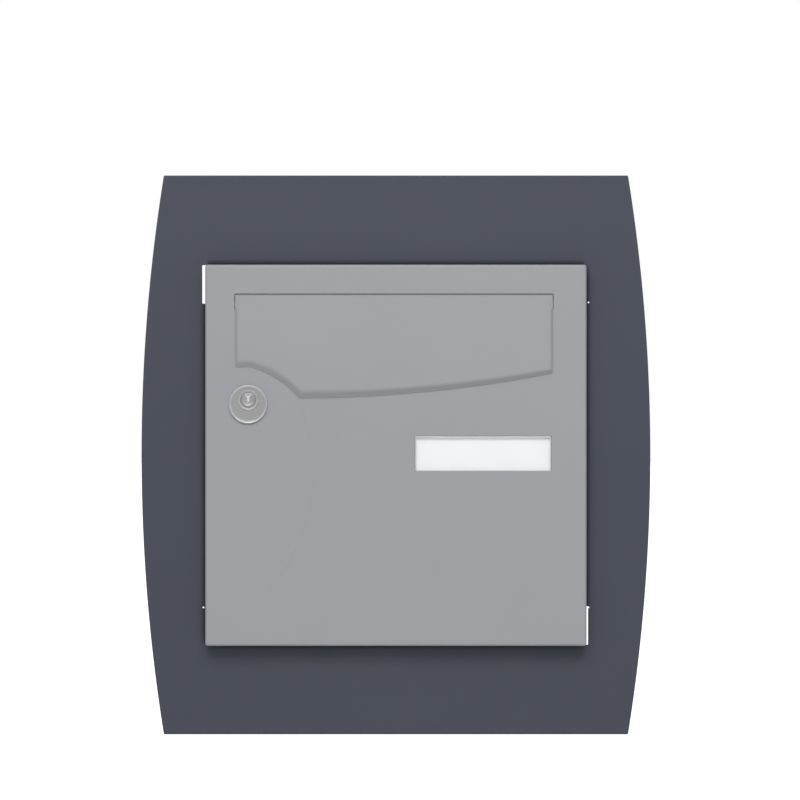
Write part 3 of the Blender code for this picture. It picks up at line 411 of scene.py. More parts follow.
def noise_value(tree, scale, detail=3.0, stretch=None):
    """The output of a noise of scale features a metre, fixed to the object."""
    place = shader_node(tree, "TexCoord", "Object")
    if stretch:
        place = shader_node(tree, "Mapping", "Vector", Vector=place, Scale=stretch)
    return shader_node(tree, "TexNoise", "Fac", Vector=place, Scale=scale, Detail=detail)


def remap(tree, value, low, high, from_low=0.35, from_high=0.65):
    limits = {"From_Min": from_low, "From_Max": from_high, "To_Min": low, "To_Max": high}
    return shader_node(tree, "MapRange", "Result", Value=value, **limits)


def blend_colours(tree, factor, first, second):
    mix = tree.nodes.new("ShaderNodeMix")
    mix.data_type = "RGBA"
    tree.links.new(factor, mix.inputs["Factor"])
    for socket, colour in ((6, first), (7, second)):
        if isinstance(colour, tuple):
            mix.inputs[socket].default_value = (*colour, 1)
        else:
            tree.links.new(colour, mix.inputs[socket])
    return mix.outputs[2]


def shade(colour, factor):
    return tuple(min(1, value * factor) for value in colour)


def link_surface(tree, shader, tone, gloss, height, strength, distance):
    """Gives a shader its colour, its roughness and a bump."""
    bump = shader_node(tree, "Bump", "Normal", Height=height, Strength=strength, Distance=distance)
    for socket, value in (("Base Color", tone), ("Roughness", gloss), ("Normal", bump)):
        tree.links.new(value, shader.inputs[socket])


def powder_coat(name, colour, roughness, grain, specular=0.5):
    """Baked powder paint: orange peel, fine speckle, slow changes of tone and uneven gloss."""
    made, tree, shader = new_material(name, roughness, specular=specular)
    slow = remap(tree, noise_value(tree, 7, 2), 0, 1)
    tone = blend_colours(tree, slow, shade(colour, 0.985), shade(colour, 1.015))
    speckle = remap(tree, noise_value(tree, 2600, 1), 0, 1, 0.45, 0.75)
    tone = blend_colours(tree, speckle, tone, shade(colour, 1.05))
    gloss = remap(tree, noise_value(tree, 24, 3), roughness - 0.04, roughness + 0.05)
    link_surface(tree, shader, tone, gloss, noise_value(tree, 750, 2.5), grain, 0.08 * mm)
    return made


def zinc(name, colour, roughness, spangle):
    """Zinc-plated or galvanised steel: crystals of spangle metres, faint stains and hair scratches."""
    made, tree, shader = new_material(name, roughness, 1.0)
    place = shader_node(tree, "TexCoord", "Object")
    crystals = shader_node(tree, "TexVoronoi", "Color", Vector=place, Scale=1 / spangle)
    grey = shader_node(tree, "RGBToBW", "Val", Color=crystals)
    tone = blend_colours(tree, grey, shade(colour, 0.86), shade(colour, 1.12))
    stain = remap(tree, noise_value(tree, 30, 4), 0, 0.5)
    tone = blend_colours(tree, stain, tone, shade(colour, 0.78))
    gloss = remap(tree, grey, roughness - 0.07, roughness + 0.1, 0, 1)
    link_surface(tree, shader, tone, gloss, noise_value(tree, 400, 4, (1, 1, 9)), 0.12, 0.03 * mm)
    return made


def turned_metal(name, colour, roughness, metallic):
    """Plated metal with fine tool marks."""
    made, tree, shader = new_material(name, roughness, metallic)
    marks = noise_value(tree, 1400, 2, (1, 6, 1))
    tone = blend_colours(tree, remap(tree, marks, 0, 1), shade(colour, 0.9), shade(colour, 1.06))
    gloss = remap(tree, marks, roughness - 0.05, roughness + 0.08)
    link_surface(tree, shader, tone, gloss, marks, 0.08, 0.02 * mm)
    return made


def moulded(name, colour, roughness, grain=0.2, scale=1800, alpha=1.0):
    """Moulded plastic or rubber with a fine sparked texture."""
    made, tree, shader = new_material(name, roughness)
    fine = noise_value(tree, scale, 2)
    tone = blend_colours(tree, remap(tree, fine, 0, 1), shade(colour, 0.93), shade(colour, 1.06))
    gloss = remap(tree, noise_value(tree, 60, 2), roughness - 0.04, roughness + 0.06)
    link_surface(tree, shader, tone, gloss, fine, grain, 0.04 * mm)
    shader.inputs["Alpha"].default_value = alpha
    return made


# What each piece is finished in: its materials, and the record's slot
BODY_PAINT = powder_coat("body_powder_coat", (0.340, 0.348, 0.369), 0.46, 0.10, 0.4), "body_paint"
PLATE_PAINT = powder_coat("plate_powder_coat", (0.0445, 0.0515, 0.0745), 0.5, 0.16), "plate_paint"
ZINC = zinc("zinc_plate", (0.62, 0.62, 0.61), 0.33, 2.2 * mm), "zinc_steel"
GALVANISED = zinc("galvanised_sheet", (0.60, 0.62, 0.63), 0.4, 9 * mm), "zinc_steel"
NICKEL = turned_metal("satin_nickel", (0.38, 0.38, 0.385), 0.36, 0.35)
RIM = turned_metal("polished_rim", (0.57, 0.57, 0.575), 0.26, 0.3)
HOUSING_METAL = NICKEL, RIM, "lock_metal"
# The keyway shutter's pale colour is a painted glint: it stands in for light caught in the keyway.
PLUG_METAL = NICKEL, turned_metal("shutter_painted_glint", (0.80, 0.80, 0.80), 0.3, 0.3), "lock_metal"
ROSETTE_METAL = powder_coat("rosette_enamel", (0.33, 0.33, 0.335), 0.36, 0.06), RIM, "rosette_metal"
PLASTIC = moulded("grey_moulding", (0.27, 0.275, 0.28), 0.5), "grey_plastic"
RUBBER = moulded("black_rubber_skin", (0.028, 0.028, 0.03), 0.78, 0.35, 900), "black_rubber"
FOAM = moulded("black_foam", (0.035, 0.035, 0.037), 0.9, 0.9, 1300), "black_rubber"
CLEAR = moulded("clear_window", (0.95, 0.96, 0.98), 0.12, 0.03, 300, 0.025)
CLEAR_EDGE = moulded("frosted_window_edge", (0.66, 0.67, 0.70), 0.35, 0.05, 600, 0.8)
WINDOW = CLEAR, CLEAR_EDGE, "clear_plastic"
CARD = moulded("white_card_stock", (0.945, 0.965, 1.0), 0.75, 0.12, 2200), "white_card"


# Housing


def numbered(stem, last, first=1):
    return [f"{stem}_{i}" for i in range(first, last + 1)]


PLATE_SCREWS, CLAMP_STUDS = numbered("plate_screw", 4), numbered("clamp_stud", 4)
DOOR_BUMPERS, HINGE_RIVETS = numbered("door_bumper", 4), numbered("hinge_rivet", 4)
SIDE_RIVETS, LEVEL_RIVETS = numbered("back_rivet", 4), numbered("back_rivet", 6, 5)


def plate_outline(inset):
    """Straight top and bottom with two bowed sides, moved inwards by inset."""
    half_width = PLATE_HIGH.x - PLATE_BULGE - inset
    half_height = PLATE_HIGH.z - inset
    right = sagged_arc((half_width, -half_height), (half_width, half_height), PLATE_BULGE, 48)
    left = sagged_arc((-half_width, half_height), (-half_width, -half_height), PLATE_BULGE, 48)
    return softened(right + left, 1.0 * mm, 3, only=(0, 48, 49, 97))


def surround_plate():
    front, back = PLATE_FRONT, PLATE_FRONT + PLATE_SHEET
    lip = 0.45 * mm
    levels = [(lip, front), (0.3 * lip, front + 0.3 * lip), (0, front + lip)]
    levels += [(inset, front + back - y) for inset, y in reversed(levels)]
    plate = to_object(shape(add_layers, [(plate_outline(inset), y) for inset, y in levels]))
    before, behind = front - 5 * mm, front + 10 * mm
    opening = shape(add_prism, square(OPENING_HALF, 0.8 * mm), before, behind)
    for (side_x, side_z), reach in NOTCH_REACH.items():
        low_x, high_x = sorted((side_x * (OPENING_HALF - 6 * mm), side_x * reach))
        low_z, high_z = sorted((side_z * NOTCH_START, side_z * NOTCH_END))
        add_prism(opening, rectangle(low_x, low_z, high_x, high_z, 0.8 * mm), before, behind)
        x, z = side_x * RELIEF_X, side_z * RELIEF_Z
        add_rod(opening, (x, before, z), (x, behind, z), RELIEF_RADIUS)
    combine(plate, opening)
    guides, lips, filling, folds = bmesh.new(), bmesh.new(), bmesh.new(), bmesh.new()
    for side in (-1, 1):
        add_guide(guides, "z", side, GUIDE_HALF_Z, PLATE_HIGH.y)
        add_guide(guides, "x", side, GUIDE_HALF_X, PLATE_HIGH.y)
        add_guide(lips, "x", side, LIP_HALF, PLATE_FRONT + FOLD_RADIUS)
        add_fold(filling, "z", side, -GUIDE_HALF_Z, GUIDE_HALF_Z, True)
        add_fold(filling, "x", side, -LIP_HALF, LIP_HALF, True)
        low, high = sorted((-side * GUIDE_HALF_Z, side * LIP_HALF))
        add_fold(folds, "z", side, low, high, False)
        add_fold(folds, "x", side, -LIP_HALF, LIP_HALF, False)
    for joined in (guides, lips, filling):
        combine(plate, joined, "UNION")
    combine(plate, folds)
    combine(plate, shape(add_bores, PLATE_SCREWS, X, 2.6 * mm, 15 * mm))
    piece("surround_plate", "housing", PLATE_PAINT, plate)


def turned_over(rings):
    return [[(z, y, x) for x, y, z in ring] for ring in rings]


def add_guide(bm, axis, side, length, rear):
    """One flange along the opening's edge, with rounded free corners."""
    corners = [(-length, PLATE_FRONT), (length, PLATE_FRONT), (length, rear), (-length, rear)]
    outline = softened(corners, 4 * mm, 5, only=(2, 3))
    levels = (side * OPENING_HALF, side * (OPENING_HALF + PLATE_SHEET))
    rings = [[(level, y, along) for along, y in outline] for level in levels]
    add_loft(bm, rings if axis == "z" else turned_over(rings))


def add_fold(bm, axis, side, low, high, filling):
    """The bend from the plate into one guide, from low to high along axis: the inside of the curve if
    filling, or else what is removed in front of it."""
    radius = FOLD_RADIUS - PLATE_SHEET if filling else FOLD_RADIUS
    centre = (OPENING_HALF + FOLD_RADIUS, PLATE_FRONT + FOLD_RADIUS)
    curve = arc(centre, radius, 1.5 * math.pi, math.pi, 14)
    overlap = 0.8 * PLATE_SHEET if filling else -0.5 * PLATE_SHEET
    near_x, near_y = OPENING_HALF + overlap, PLATE_FRONT + overlap
    section = curve + [(near_x, centre[1]), (near_x, near_y), (centre[0], near_y)]
    rings = [[(side * across, y, level) for across, y in section] for level in (low, high)]
    add_loft(bm, rings if axis == "z" else turned_over(rings))


def cross_recess(bm, centre, direction, size, depth):
    """Adds a tapered cross, to be cut into a screw's head."""
    turn = Vector(direction).to_track_quat("Z", "Y").to_matrix().to_4x4()
    matrix = Matrix.Translation(centre) @ turn
    for long_x, long_y in ((size, size * 0.2), (size * 0.2, size)):
        rings = []
        for height, share in ((-depth, 0.55), (0.5 * mm, 1.08)):
            corners = [(-1, -1), (1, -1), (1, 1), (-1, 1)]
            across, along = long_x * share, long_y * share
            rings.append([matrix @ Vector((x * across, y * along, height)) for x, y in corners])
        add_loft(bm, rings)


def screw_piece(node, body, seat, outward, profile, height, size, depth):
    """A screw with its head's foot at seat, and a cross of size and depth in its top, at height."""
    screw = to_object(shape(add_turned, seat, outward, profile, 32))
    combine(screw, shape(cross_recess, seat + outward * height, outward, size, depth))
    piece(node, body, ZINC, screw)


def plate_screws():
    dome = turned_path([(0, 2.6), (2.6, 2.4), (4.3, 1.2), (4.4, 0), (2.1, 0)], 0.4 * mm)
    shank = thread(2.1 * mm, -0.2 * mm, -9 * mm, 0.35 * mm) + scaled([(0.9, -10.0), (0, -10.4)])
    for node in PLATE_SCREWS:
        outward = X * math.copysign(1, middle_of(node).x)
        seat = middle_of(node, x=outward.x * (OPENING_HALF + PLATE_SHEET + 0.3 * mm))
        screw_piece(node, "housing", seat, outward, dome + shank, 2.6 * mm, 2.1 * mm, 1.5 * mm)


def clamp_frame():
    low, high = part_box("rear_clamp_frame")
    levels = chamfered(low.y, high.y, 0.3 * mm)
    clamp = to_object(slab("rear_clamp_frame", levels, 10 * mm, 8))
    levels = [(2 * mm, low.y - 2 * mm), *levels, (2 * mm, high.y + 2 * mm)]
    half = 146 * mm
    window = shape(add_layers, [(square(half + grow, 3 * mm), y) for grow, y in levels])
    for node in CLAMP_STUDS:
        add_bore(window, middle_of(node, y=low.y), Y, 8 * mm, 3.6 * mm)
    combine(clamp, window)
    piece("rear_clamp_frame", "housing", GALVANISED, clamp)


def clamp_studs_and_nuts():
    foot = turned_path([(0, 0), (4.6, 0), (4.6, 0.7), (3.4, 1.3), (3, 2.6)], 0.5 * mm)
    for node in CLAMP_STUDS:
        low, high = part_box(node)
        length = high.y - low.y
        end = [(2.3 * mm, length - 0.1 * mm), (2.1 * mm, length), (0, length)]
        profile = foot + thread(3 * mm, 3 * mm, length - 0.7 * mm) + end
        piece(node, "housing", ZINC, shape(add_turned, middle_of(node, y=low.y), Y, profile, 32))
        flange_nut(node.replace("stud", "nut"))


def flange_nut(node):
    low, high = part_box(node)
    seat = middle_of(node, y=low.y)
    height = high.y - low.y
    flange = turned_path([(0, 0), (7, 0), (7, 1), (5, 2), (0, 2)], 0.3 * mm)
    nut = to_object(shape(add_turned, seat, Y, flange))
    combine(nut, hexagon_bar(seat + Y * 0.4 * mm, height - 0.4 * mm, 5.77 * mm), "UNION")
    combine(nut, shape(add_turned, seat, Y, nut_bore(3.35 * mm, height, 1.2 * mm, 0.6 * mm)))
    piece(node, "housing", ZINC, nut)


def nut_bore(radius, height, flare, depth):
    """The profile of a nut's hole, which widens by flare at both ends and is straight beyond depth."""
    half = [(0, -mm), (radius + flare, -mm), (radius, depth)]
    return half + [(r, height - y) for r, y in reversed(half)]


def hexagon_bar(start, length, radius):
    """A hexagon along +Y whose far corners are turned off to a cone."""
    bar = to_object(shape(add_rod, start, start + Y * length, radius, 6))
    slope = radius * 0.22
    cone = [(0, -mm), (radius + mm, -mm), (radius + mm, length - slope), (radius * 0.84, length), (0, length)]
    combine(bar, shape(add_turned, start, Y, cone), "INTERSECT")
    made = bmesh.new()
    made.from_mesh(bar.data)
    bpy.data.objects.remove(bar)
    return made


def letter_box():
    """The folded body: four walls, open at the back, with an inward flange at the front."""
    bm = shape(add_block, BOX_LOW, BOX_HIGH)
    round_edges(bm, lengthwise, 2 * mm, 6)
    round_edges(bm, lambda a, b: max(a.y, b.y) < BOX_FRONT + 0.5 * mm, 1.4 * mm)
    box = to_object(bm)
    inner = BOX_HALF - BOX_SHEET
    room = shape(add_block, (-inner, BOX_FRONT + BOX_SHEET, -inner), (inner, 10 * mm, inner))
    round_edges(room, lengthwise, 1 * mm)
    combine(box, room)
    edge = BOX_HALF - BOX_FLANGE
    before, behind = BOX_FRONT - 5 * mm, BOX_FRONT + 5 * mm
    mouth = shape(add_prism, square(edge, 1.5 * mm), before, behind)
    for side in (-1, 1):
        low, high = sorted((side * (edge - 2 * mm), side * (inner - 0.2 * mm)))
        add_block(mouth, (HINGE_RELIEF_X, before, low), (inner - 0.2 * mm, behind, high))
    combine(box, mouth)
    holes = bmesh.new()
    drain_x, drain_inset = 90 * mm, 60 * mm
    for x in (-drain_x, drain_x):
        for y in (-drain_inset, BOX_FRONT + drain_inset):
            add_bore(holes, (x, y, -BOX_HALF), Z, 5 * mm, 2.5 * mm)
    add_bores(holes, PLATE_SCREWS + SIDE_RIVETS, X, RIVET_HOLE)
    add_bores(holes, LEVEL_RIVETS + HINGE_RIVETS, Z, RIVET_HOLE)
    add_bores(holes, DOOR_BUMPERS, Y, RIVET_HOLE)
    combine(box, holes)
    break_edges(box, 0.2 * mm)
    piece("letter_box", "housing", BODY_PAINT, box, "box_front_frame")


def back_panel():
    low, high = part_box("back_panel")
    bm = shape(add_block, low, high)
    round_edges(bm, lengthwise, 1.6 * mm, 5)
    round_edges(bm, lambda a, b: min(a.y, b.y) > high.y - 0.5 * mm, 1.2 * mm)
    panel = to_object(bm)
    inner = high.x - BOX_SHEET
    room = shape(add_block, (-inner, low.y - 20 * mm, -inner), (inner, -BOX_SHEET, inner))
    round_edges(room, lengthwise, 0.7 * mm, 3)
    combine(panel, room)
    holes = bmesh.new()
    fixing = 95 * mm
    for x in (-fixing, fixing):
        for z in (-fixing, fixing):
            add_bore(holes, (x, 0, z), Y, 8 * mm, 3.25 * mm)
    add_bores(holes, SIDE_RIVETS, X, RIVET_HOLE)
    add_bores(holes, LEVEL_RIVETS, Z, RIVET_HOLE)
    combine(panel, holes)
    break_edges(panel, 0.2 * mm)
    piece("back_panel", "housing", BODY_PAINT, panel)


def rivets():
    """Blind rivets with a domed head, a broken-off mandrel and an upset tail."""
    for nodes, along, grip in ((SIDE_RIVETS, 0, 2.9), (LEVEL_RIVETS, 2, 2.9), (HINGE_RIVETS, 2, 3.9)):
        profile = scaled([
            (0, 0.5), (1.1, 0.45), (1.15, 1.1), (1.9, 1.05), (2.9, 0.75), (3.6, 0.25), (3.6, 0), (1.9, 0),
            (1.9, -grip), (2.9, -grip - 0.3), (2.7, -grip - 1.6), (1.4, -grip - 2.1), (0, -grip - 2.2),
        ])
        for node in nodes:
            seat = middle_of(node)
            outward = Vector()
            outward[along] = math.copysign(1, seat[along])
            seat[along] = outward[along] * (BOX_HALF + 0.3 * mm)
            turned_piece(node, seat, outward, profile, "housing", ZINC, 32, 0.2 * mm)


def hinge_brackets():
    left, right = 109 * mm, 134 * mm
    for node in ("hinge_bracket_upper", "hinge_bracket_lower"):
        low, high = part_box(node)
        nose = arc(HINGE.xy, 4.5 * mm, -math.pi, math.radians(60), 24)
        arm = [(right, PLATE_FRONT - 1 * mm), (right, high.y), (left, high.y), (left, PLATE_FRONT + 5 * mm)]
        outline = softened(nose + arm, 1.5 * mm, 4, only=range(len(nose), len(nose) + 4))
        centre = Vector(((left + right) / 2, (low.y + high.y) / 2))
        rings = []
        for inset, z in chamfered(low.z, high.z, 0.25 * mm):
            rings.append([(x, y, z) for x, y in drawn_in(outline, centre, inset)])
        bracket = to_object(shape(add_loft, rings))
        holes = shape(add_rod, (*HINGE.xy, low.z - 5 * mm), (*HINGE.xy, high.z + 5 * mm), RIVET_HOLE)
        add_bores(holes, HINGE_RIVETS, Z, RIVET_HOLE)
        combine(bracket, holes)
        piece(node, "housing", ZINC, bracket)


def hinge_pins():
    face = 134.7
    profile = scaled([
        (0, 130.4), (1.1, 130.4), (3.4, 130.9), (3.4, face - 2.3), (2.0, face - 2.3), (2.0, face + 0.3),
        (3.4, face + 0.3), (3.4, face + 1.4), (2.0, face + 1.4), (2.0, 139.3), (1.6, 139.8), (0, 139.8),
    ])
    for name, up in (("upper", Z), ("lower", -Z)):
        turned_piece(f"hinge_pin_{name}", (*HINGE.xy, 0), up, profile, "housing", ZINC, 40, 0.15 * mm)


def seals():
    """Push-in rubber buttons, and a foam strip over the mouth."""
    profile = scaled([
        (0, -3.4), (2.2, -3.35), (3.2, -2.4), (3.2, 0), (1.9, 0), (1.9, 1.6), (2.8, 1.8), (1.4, 4), (0, 4.1),
    ])
    for node in DOOR_BUMPERS:
        seat = middle_of(node, y=BOX_FRONT - 0.3 * mm)
        turned_piece(node, seat, Y, profile, "housing", RUBBER, 32, 0.5 * mm)
    low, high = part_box("weather_strip")
    section = rectangle(low.y, low.z, high.y, high.z, 1.5 * mm, 6, only=(0, 3))
    middle = middle_of("weather_strip").yz
    rings = []
    steps = 46
    for i in range(steps + 1):
        x = low.x + (high.x - low.x) * i / steps
        pinch = 0.82 if i in (0, steps) else 1 - 0.03 * (1 - math.cos(i * 2.4))
        rings.append([(x, *(middle + (Vector(point) - middle) * pinch)) for point in section])
    piece("weather_strip", "housing", FOAM, shape(add_loft, rings))


# Door


def mouth_outline(grow=0.0, rise=0.0, rise_right=None, corner=1.5 * mm, side_inset=0.0, top=None):
    """The flap's outline as (x, z) points from its top left corner, anticlockwise. grow moves every edge
    outwards, rise lifts the lower edge, side_inset moves the sides inwards, and top cuts the shape off."""
    rise_right = rise if rise_right is None else rise_right
    top = MOUTH_TOP + grow if top is None else top
    left, right = MOUTH_LEFT - grow, MOUTH_RIGHT + grow
    radius = LOCK_ARC_RADIUS - grow + rise
    centre = LOCK_ARC_CENTRE
    first = math.acos((LOCK_ARC_START_X - centre[0]) / radius)
    last = math.acos((TIP_X + rise * 0.3 - centre[0]) / radius)
    around_lock = arc(centre, radius, first, last, 22)
    lower = sagged_arc(around_lock[-1], (right, MOUTH_RIGHT_FOOT - grow + rise_right), LOWER_ARC_SAG, 44)
    points = [(left, top), (left, MOUTH_LEFT_FOOT - grow + rise)] + around_lock + lower[1:] + [(right, top)]
    inner_left, inner_right = left + side_inset, right - side_inset
    points = [(min(max(x, inner_left), inner_right), z) for x, z in points]
    last_index = len(points) - 1
    return softened(points, corner, 4, only=(0, 1, 24, last_index - 1, last_index))


def pressed_arc():
    """A faint pressed line that curves down from the flap's tip, as a shallow ridge on the sheet."""
    centre, radius = Vector((-201 * mm, -8 * mm)), 140 * mm
    half_width, height, sunk = 3.0 * mm, 0.3 * mm, 0.6 * mm
    first, last, steps = math.radians(20.5), math.radians(-45), 60
    rings = []
    for i in range(steps + 1):
        share = i / steps
        angle = first + (last - first) * share
        taper = min(1, share * 12, (1 - share) * 5)
        out = Vector((math.cos(angle), math.sin(angle)))
        section = []
        for k in range(-5, 6):
            rise = height * taper * (0.5 + 0.5 * math.cos(math.pi * k / 5)) - 0.01 * mm
            section.append((half_width * k / 5, -rise))
        section += [(half_width, sunk), (-half_width, sunk)]
        ring = []
        for across, depth in section:
            x, z = centre + out * (radius + across)
            ring.append((x, DOOR_FRONT + depth, z))
        rings.append(ring)
    return shape(add_loft, rings)


def rounded_cutter(bm, outline_at, low, high, lip):
    """Adds a cutter along Y whose mouth flares by lip at low, which leaves a rounded edge on the sheet."""
    add_layers(bm, [
        (outline_at(lip), low - 3 * mm), (outline_at(lip), low), (outline_at(0.3 * lip), low + 0.3 * lip),
        (outline_at(0), low + lip), (outline_at(0), high),
    ])


def lower_mouth(grow):
    return mouth_outline(grow - FLAP_GAP - FLAP_OVERLAP, top=SPLIT_Z + mm)


def upper_mouth(grow):
    return rectangle(MOUTH_LEFT - grow, SPLIT_Z - grow, MOUTH_RIGHT + grow, MOUTH_TOP + grow, 0.8 * mm)


def name_opening(grow):
    return box_outline("name_window", -0.12 * mm - grow, 0.8 * mm)


def door_panel():
    bm = shape(add_block, DOOR_LOW, DOOR_HIGH)
    round_edges(bm, lambda a, b: min(a.y, b.y) < DOOR_FRONT + 1 * mm, 2 * mm, 8)
    door = to_object(bm)
    inner = DOOR_HALF - DOOR_SHEET
    hem_y = DOOR_BACK - DOOR_SHEET
    room = shape(add_block, (-inner, DOOR_FRONT + DOOR_SHEET, -inner), (inner, hem_y, inner))
    round_edges(room, lambda a, b: max(a.y, b.y) < DOOR_FRONT + 2 * mm, 0.9 * mm)
    combine(door, room)
    edge = inner - DOOR_HEM
    before, behind = hem_y - 3 * mm, DOOR_BACK + 5 * mm
    rear = shape(add_block, (-edge, before, -edge), (inner, behind, edge))
    for side in (-1, 1):
        low, high = sorted((side * (edge - 2 * mm), side * inner))
        add_block(rear, (HINGE_RELIEF_X, before, low), (inner, behind, high))
        low, high = sorted((side * HINGE_CUT_Z, side * (inner - 1.2 * mm)))
        add_block(rear, (inner - 4 * mm, DOOR_FRONT + 2.4 * mm, low), (DOOR_HALF + 5 * mm, behind, high))
    combine(door, rear)
    combine(door, pressed_arc(), "UNION")
    windows = bmesh.new()
    for outline_at, lip in ((lower_mouth, 0.4 * mm), (upper_mouth, 0.15 * mm), (name_opening, 0.35 * mm)):
        rounded_cutter(windows, outline_at, DOOR_FRONT, DOOR_FRONT + 5 * mm, lip)
    add_bore(windows, LOCK_FACE, Y, 5 * mm, 7.8 * mm, 48)
    for side in (-1, 1):
        add_bore(windows, (*HINGE.xy, side * (DOOR_HALF + 1 * mm)), Z, 4 * mm, 3.5 * mm)
    combine(door, windows)
    piece("door_panel", "door", BODY_PAINT, door, "door_hem")


def hinge_bushes():
    profile = scaled([(2.25, 137.3), (4.6, 137.3), (4.6, 138.5), (3.1, 138.5), (3.1, 140), (2.25, 140)])
    for name, up in (("upper", Z), ("lower", -Z)):
        turned_piece(f"hinge_bush_{name}", (*HINGE.xy, 0), up, profile, "door", PLASTIC, 48, 0.2 * mm)


def name_plate():
    """The window, with a frosted bevel round its front, and the card behind it."""
    low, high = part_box("name_window")
    front = low.y
    levels = [
        (0.9 * mm, front), (0.5 * mm, front + 0.1 * mm), (0.15 * mm, front + 0.4 * mm), (0, front + 0.8 * mm),
        (0, high.y - 0.2 * mm), (0.2 * mm, high.y),
    ]
    window = piece("name_window", "door", WINDOW, slab("name_window", levels, 0.8 * mm))
    use_second_material(window, lambda face: face.center.y < front + 0.8 * mm and face.normal.y > -0.995)
    low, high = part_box("name_card")
    piece("name_card", "door", CARD, slab("name_card", chamfered(low.y, high.y, 0.1 * mm), 0.8 * mm))


def name_holder():
    low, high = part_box("name_holder")
    levels = [
        (0.2 * mm, low.y), (0, low.y + 0.2 * mm), (0, high.y - 0.8 * mm), (0.25 * mm, high.y - 0.25 * mm),
        (0.8 * mm, high.y),
    ]
    holder = to_object(slab("name_holder", levels, 2 * mm, 6))
    card_low, card_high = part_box("name_card")
    gap = Vector((1, 1, 1)) * 0.3 * mm
    pocket = shape(add_block, (card_low.x - gap.x, low.y - 5 * mm, card_low.z - gap.z), card_high + gap)
    centre = (low + high) / 2
    half_x, half_z = 8 * mm, 5 * mm
    window = rectangle(centre.x - half_x, centre.z - half_z, centre.x + half_x, centre.z + half_z, 2 * mm)
    add_prism(pocket, window, low.y - 4 * mm, high.y + 5 * mm)
    combine(holder, pocket)
    grooves = bmesh.new()
    half_x, half_z = 2.5 * mm, 11 * mm
    for i in (-4, -3, -2, 2, 3, 4):
        x = centre.x + i * 11 * mm
        bottom = (x - half_x, high.y - 0.35 * mm, centre.z - half_z)
        add_block(grooves, bottom, (x + half_x, high.y + 2 * mm, centre.z + half_z))
    combine(holder, grooves)
    piece("name_holder", "door", PLASTIC, holder)


# Mail flap and its hinge


def shoulder_height():
    """How far above the axis the flap's face turns into its rolled top edge."""
    depth = FLAP_AXIS.y - (DOOR_FRONT - FLAP_PROUD_TOP)
    return math.sqrt(HOOD_RADIUS**2 - depth**2)


def flap_proud(z):
    """How far the flap's face stands in front of the door's at height z."""
    shoulder = FLAP_AXIS.z + shoulder_height()
    share = (shoulder - z) / (shoulder - MOUTH_LEFT_FOOT)
    return FLAP_PROUD_TOP + (FLAP_PROUD_FOOT - FLAP_PROUD_TOP) * share


def flap_hood():
    """The (y, z) section of the flap's upper part: a plate that rolls back round the axis at its top."""
    first = math.pi - math.asin(shoulder_height() / HOOD_RADIUS)
    face_y = DOOR_FRONT - FLAP_PROUD_TOP
    low_z = FLAP_AXIS.z - 4 * mm
    axis = (FLAP_AXIS.y, FLAP_AXIS.z)
    outer = arc(axis, HOOD_RADIUS, first, math.pi / 2, 16)
    inner_radius = HOOD_RADIUS - FLAP_WALL
    inner_last = math.pi - math.acos((FLAP_AXIS.y - face_y - FLAP_WALL) / inner_radius)
    inner = arc(axis, inner_radius, math.pi / 2, inner_last, 16)
    return [(face_y, low_z)] + outer + inner + [(face_y + FLAP_WALL, low_z)]


def shrunk_section(section, amount):
    """A thin section drawn in by amount on its outer side, which rounds the ends of a long piece."""
    middle = Vector((FLAP_AXIS.y, FLAP_AXIS.z))
    result = []
    for y, z in section:
        point = Vector((y, z))
        inwards = Vector((1, 0)) if z < FLAP_AXIS.z + shoulder_height() else (middle - point).normalized()
        outer = y < DOOR_FRONT or (point - middle).length > HOOD_RADIUS - 0.5 * mm
        result.append(tuple(point + inwards * amount) if outer else (y, z))
    return result


# (how far the sides are inset, how far the lower edge is raised, share of the full height)
FLAP_EDGE = ((2.9, 6.0, 1.0), (2.5, 5.2, 0.985), (2.1, 4.4, 0.93), (1.7, 3.6, 0.83), (1.3, 2.8, 0.68),
             (0.9, 2.0, 0.47), (0.5, 1.2, 0.27), (0.2, 0.5, 0.14), (0.03, 0.1, 0.09))


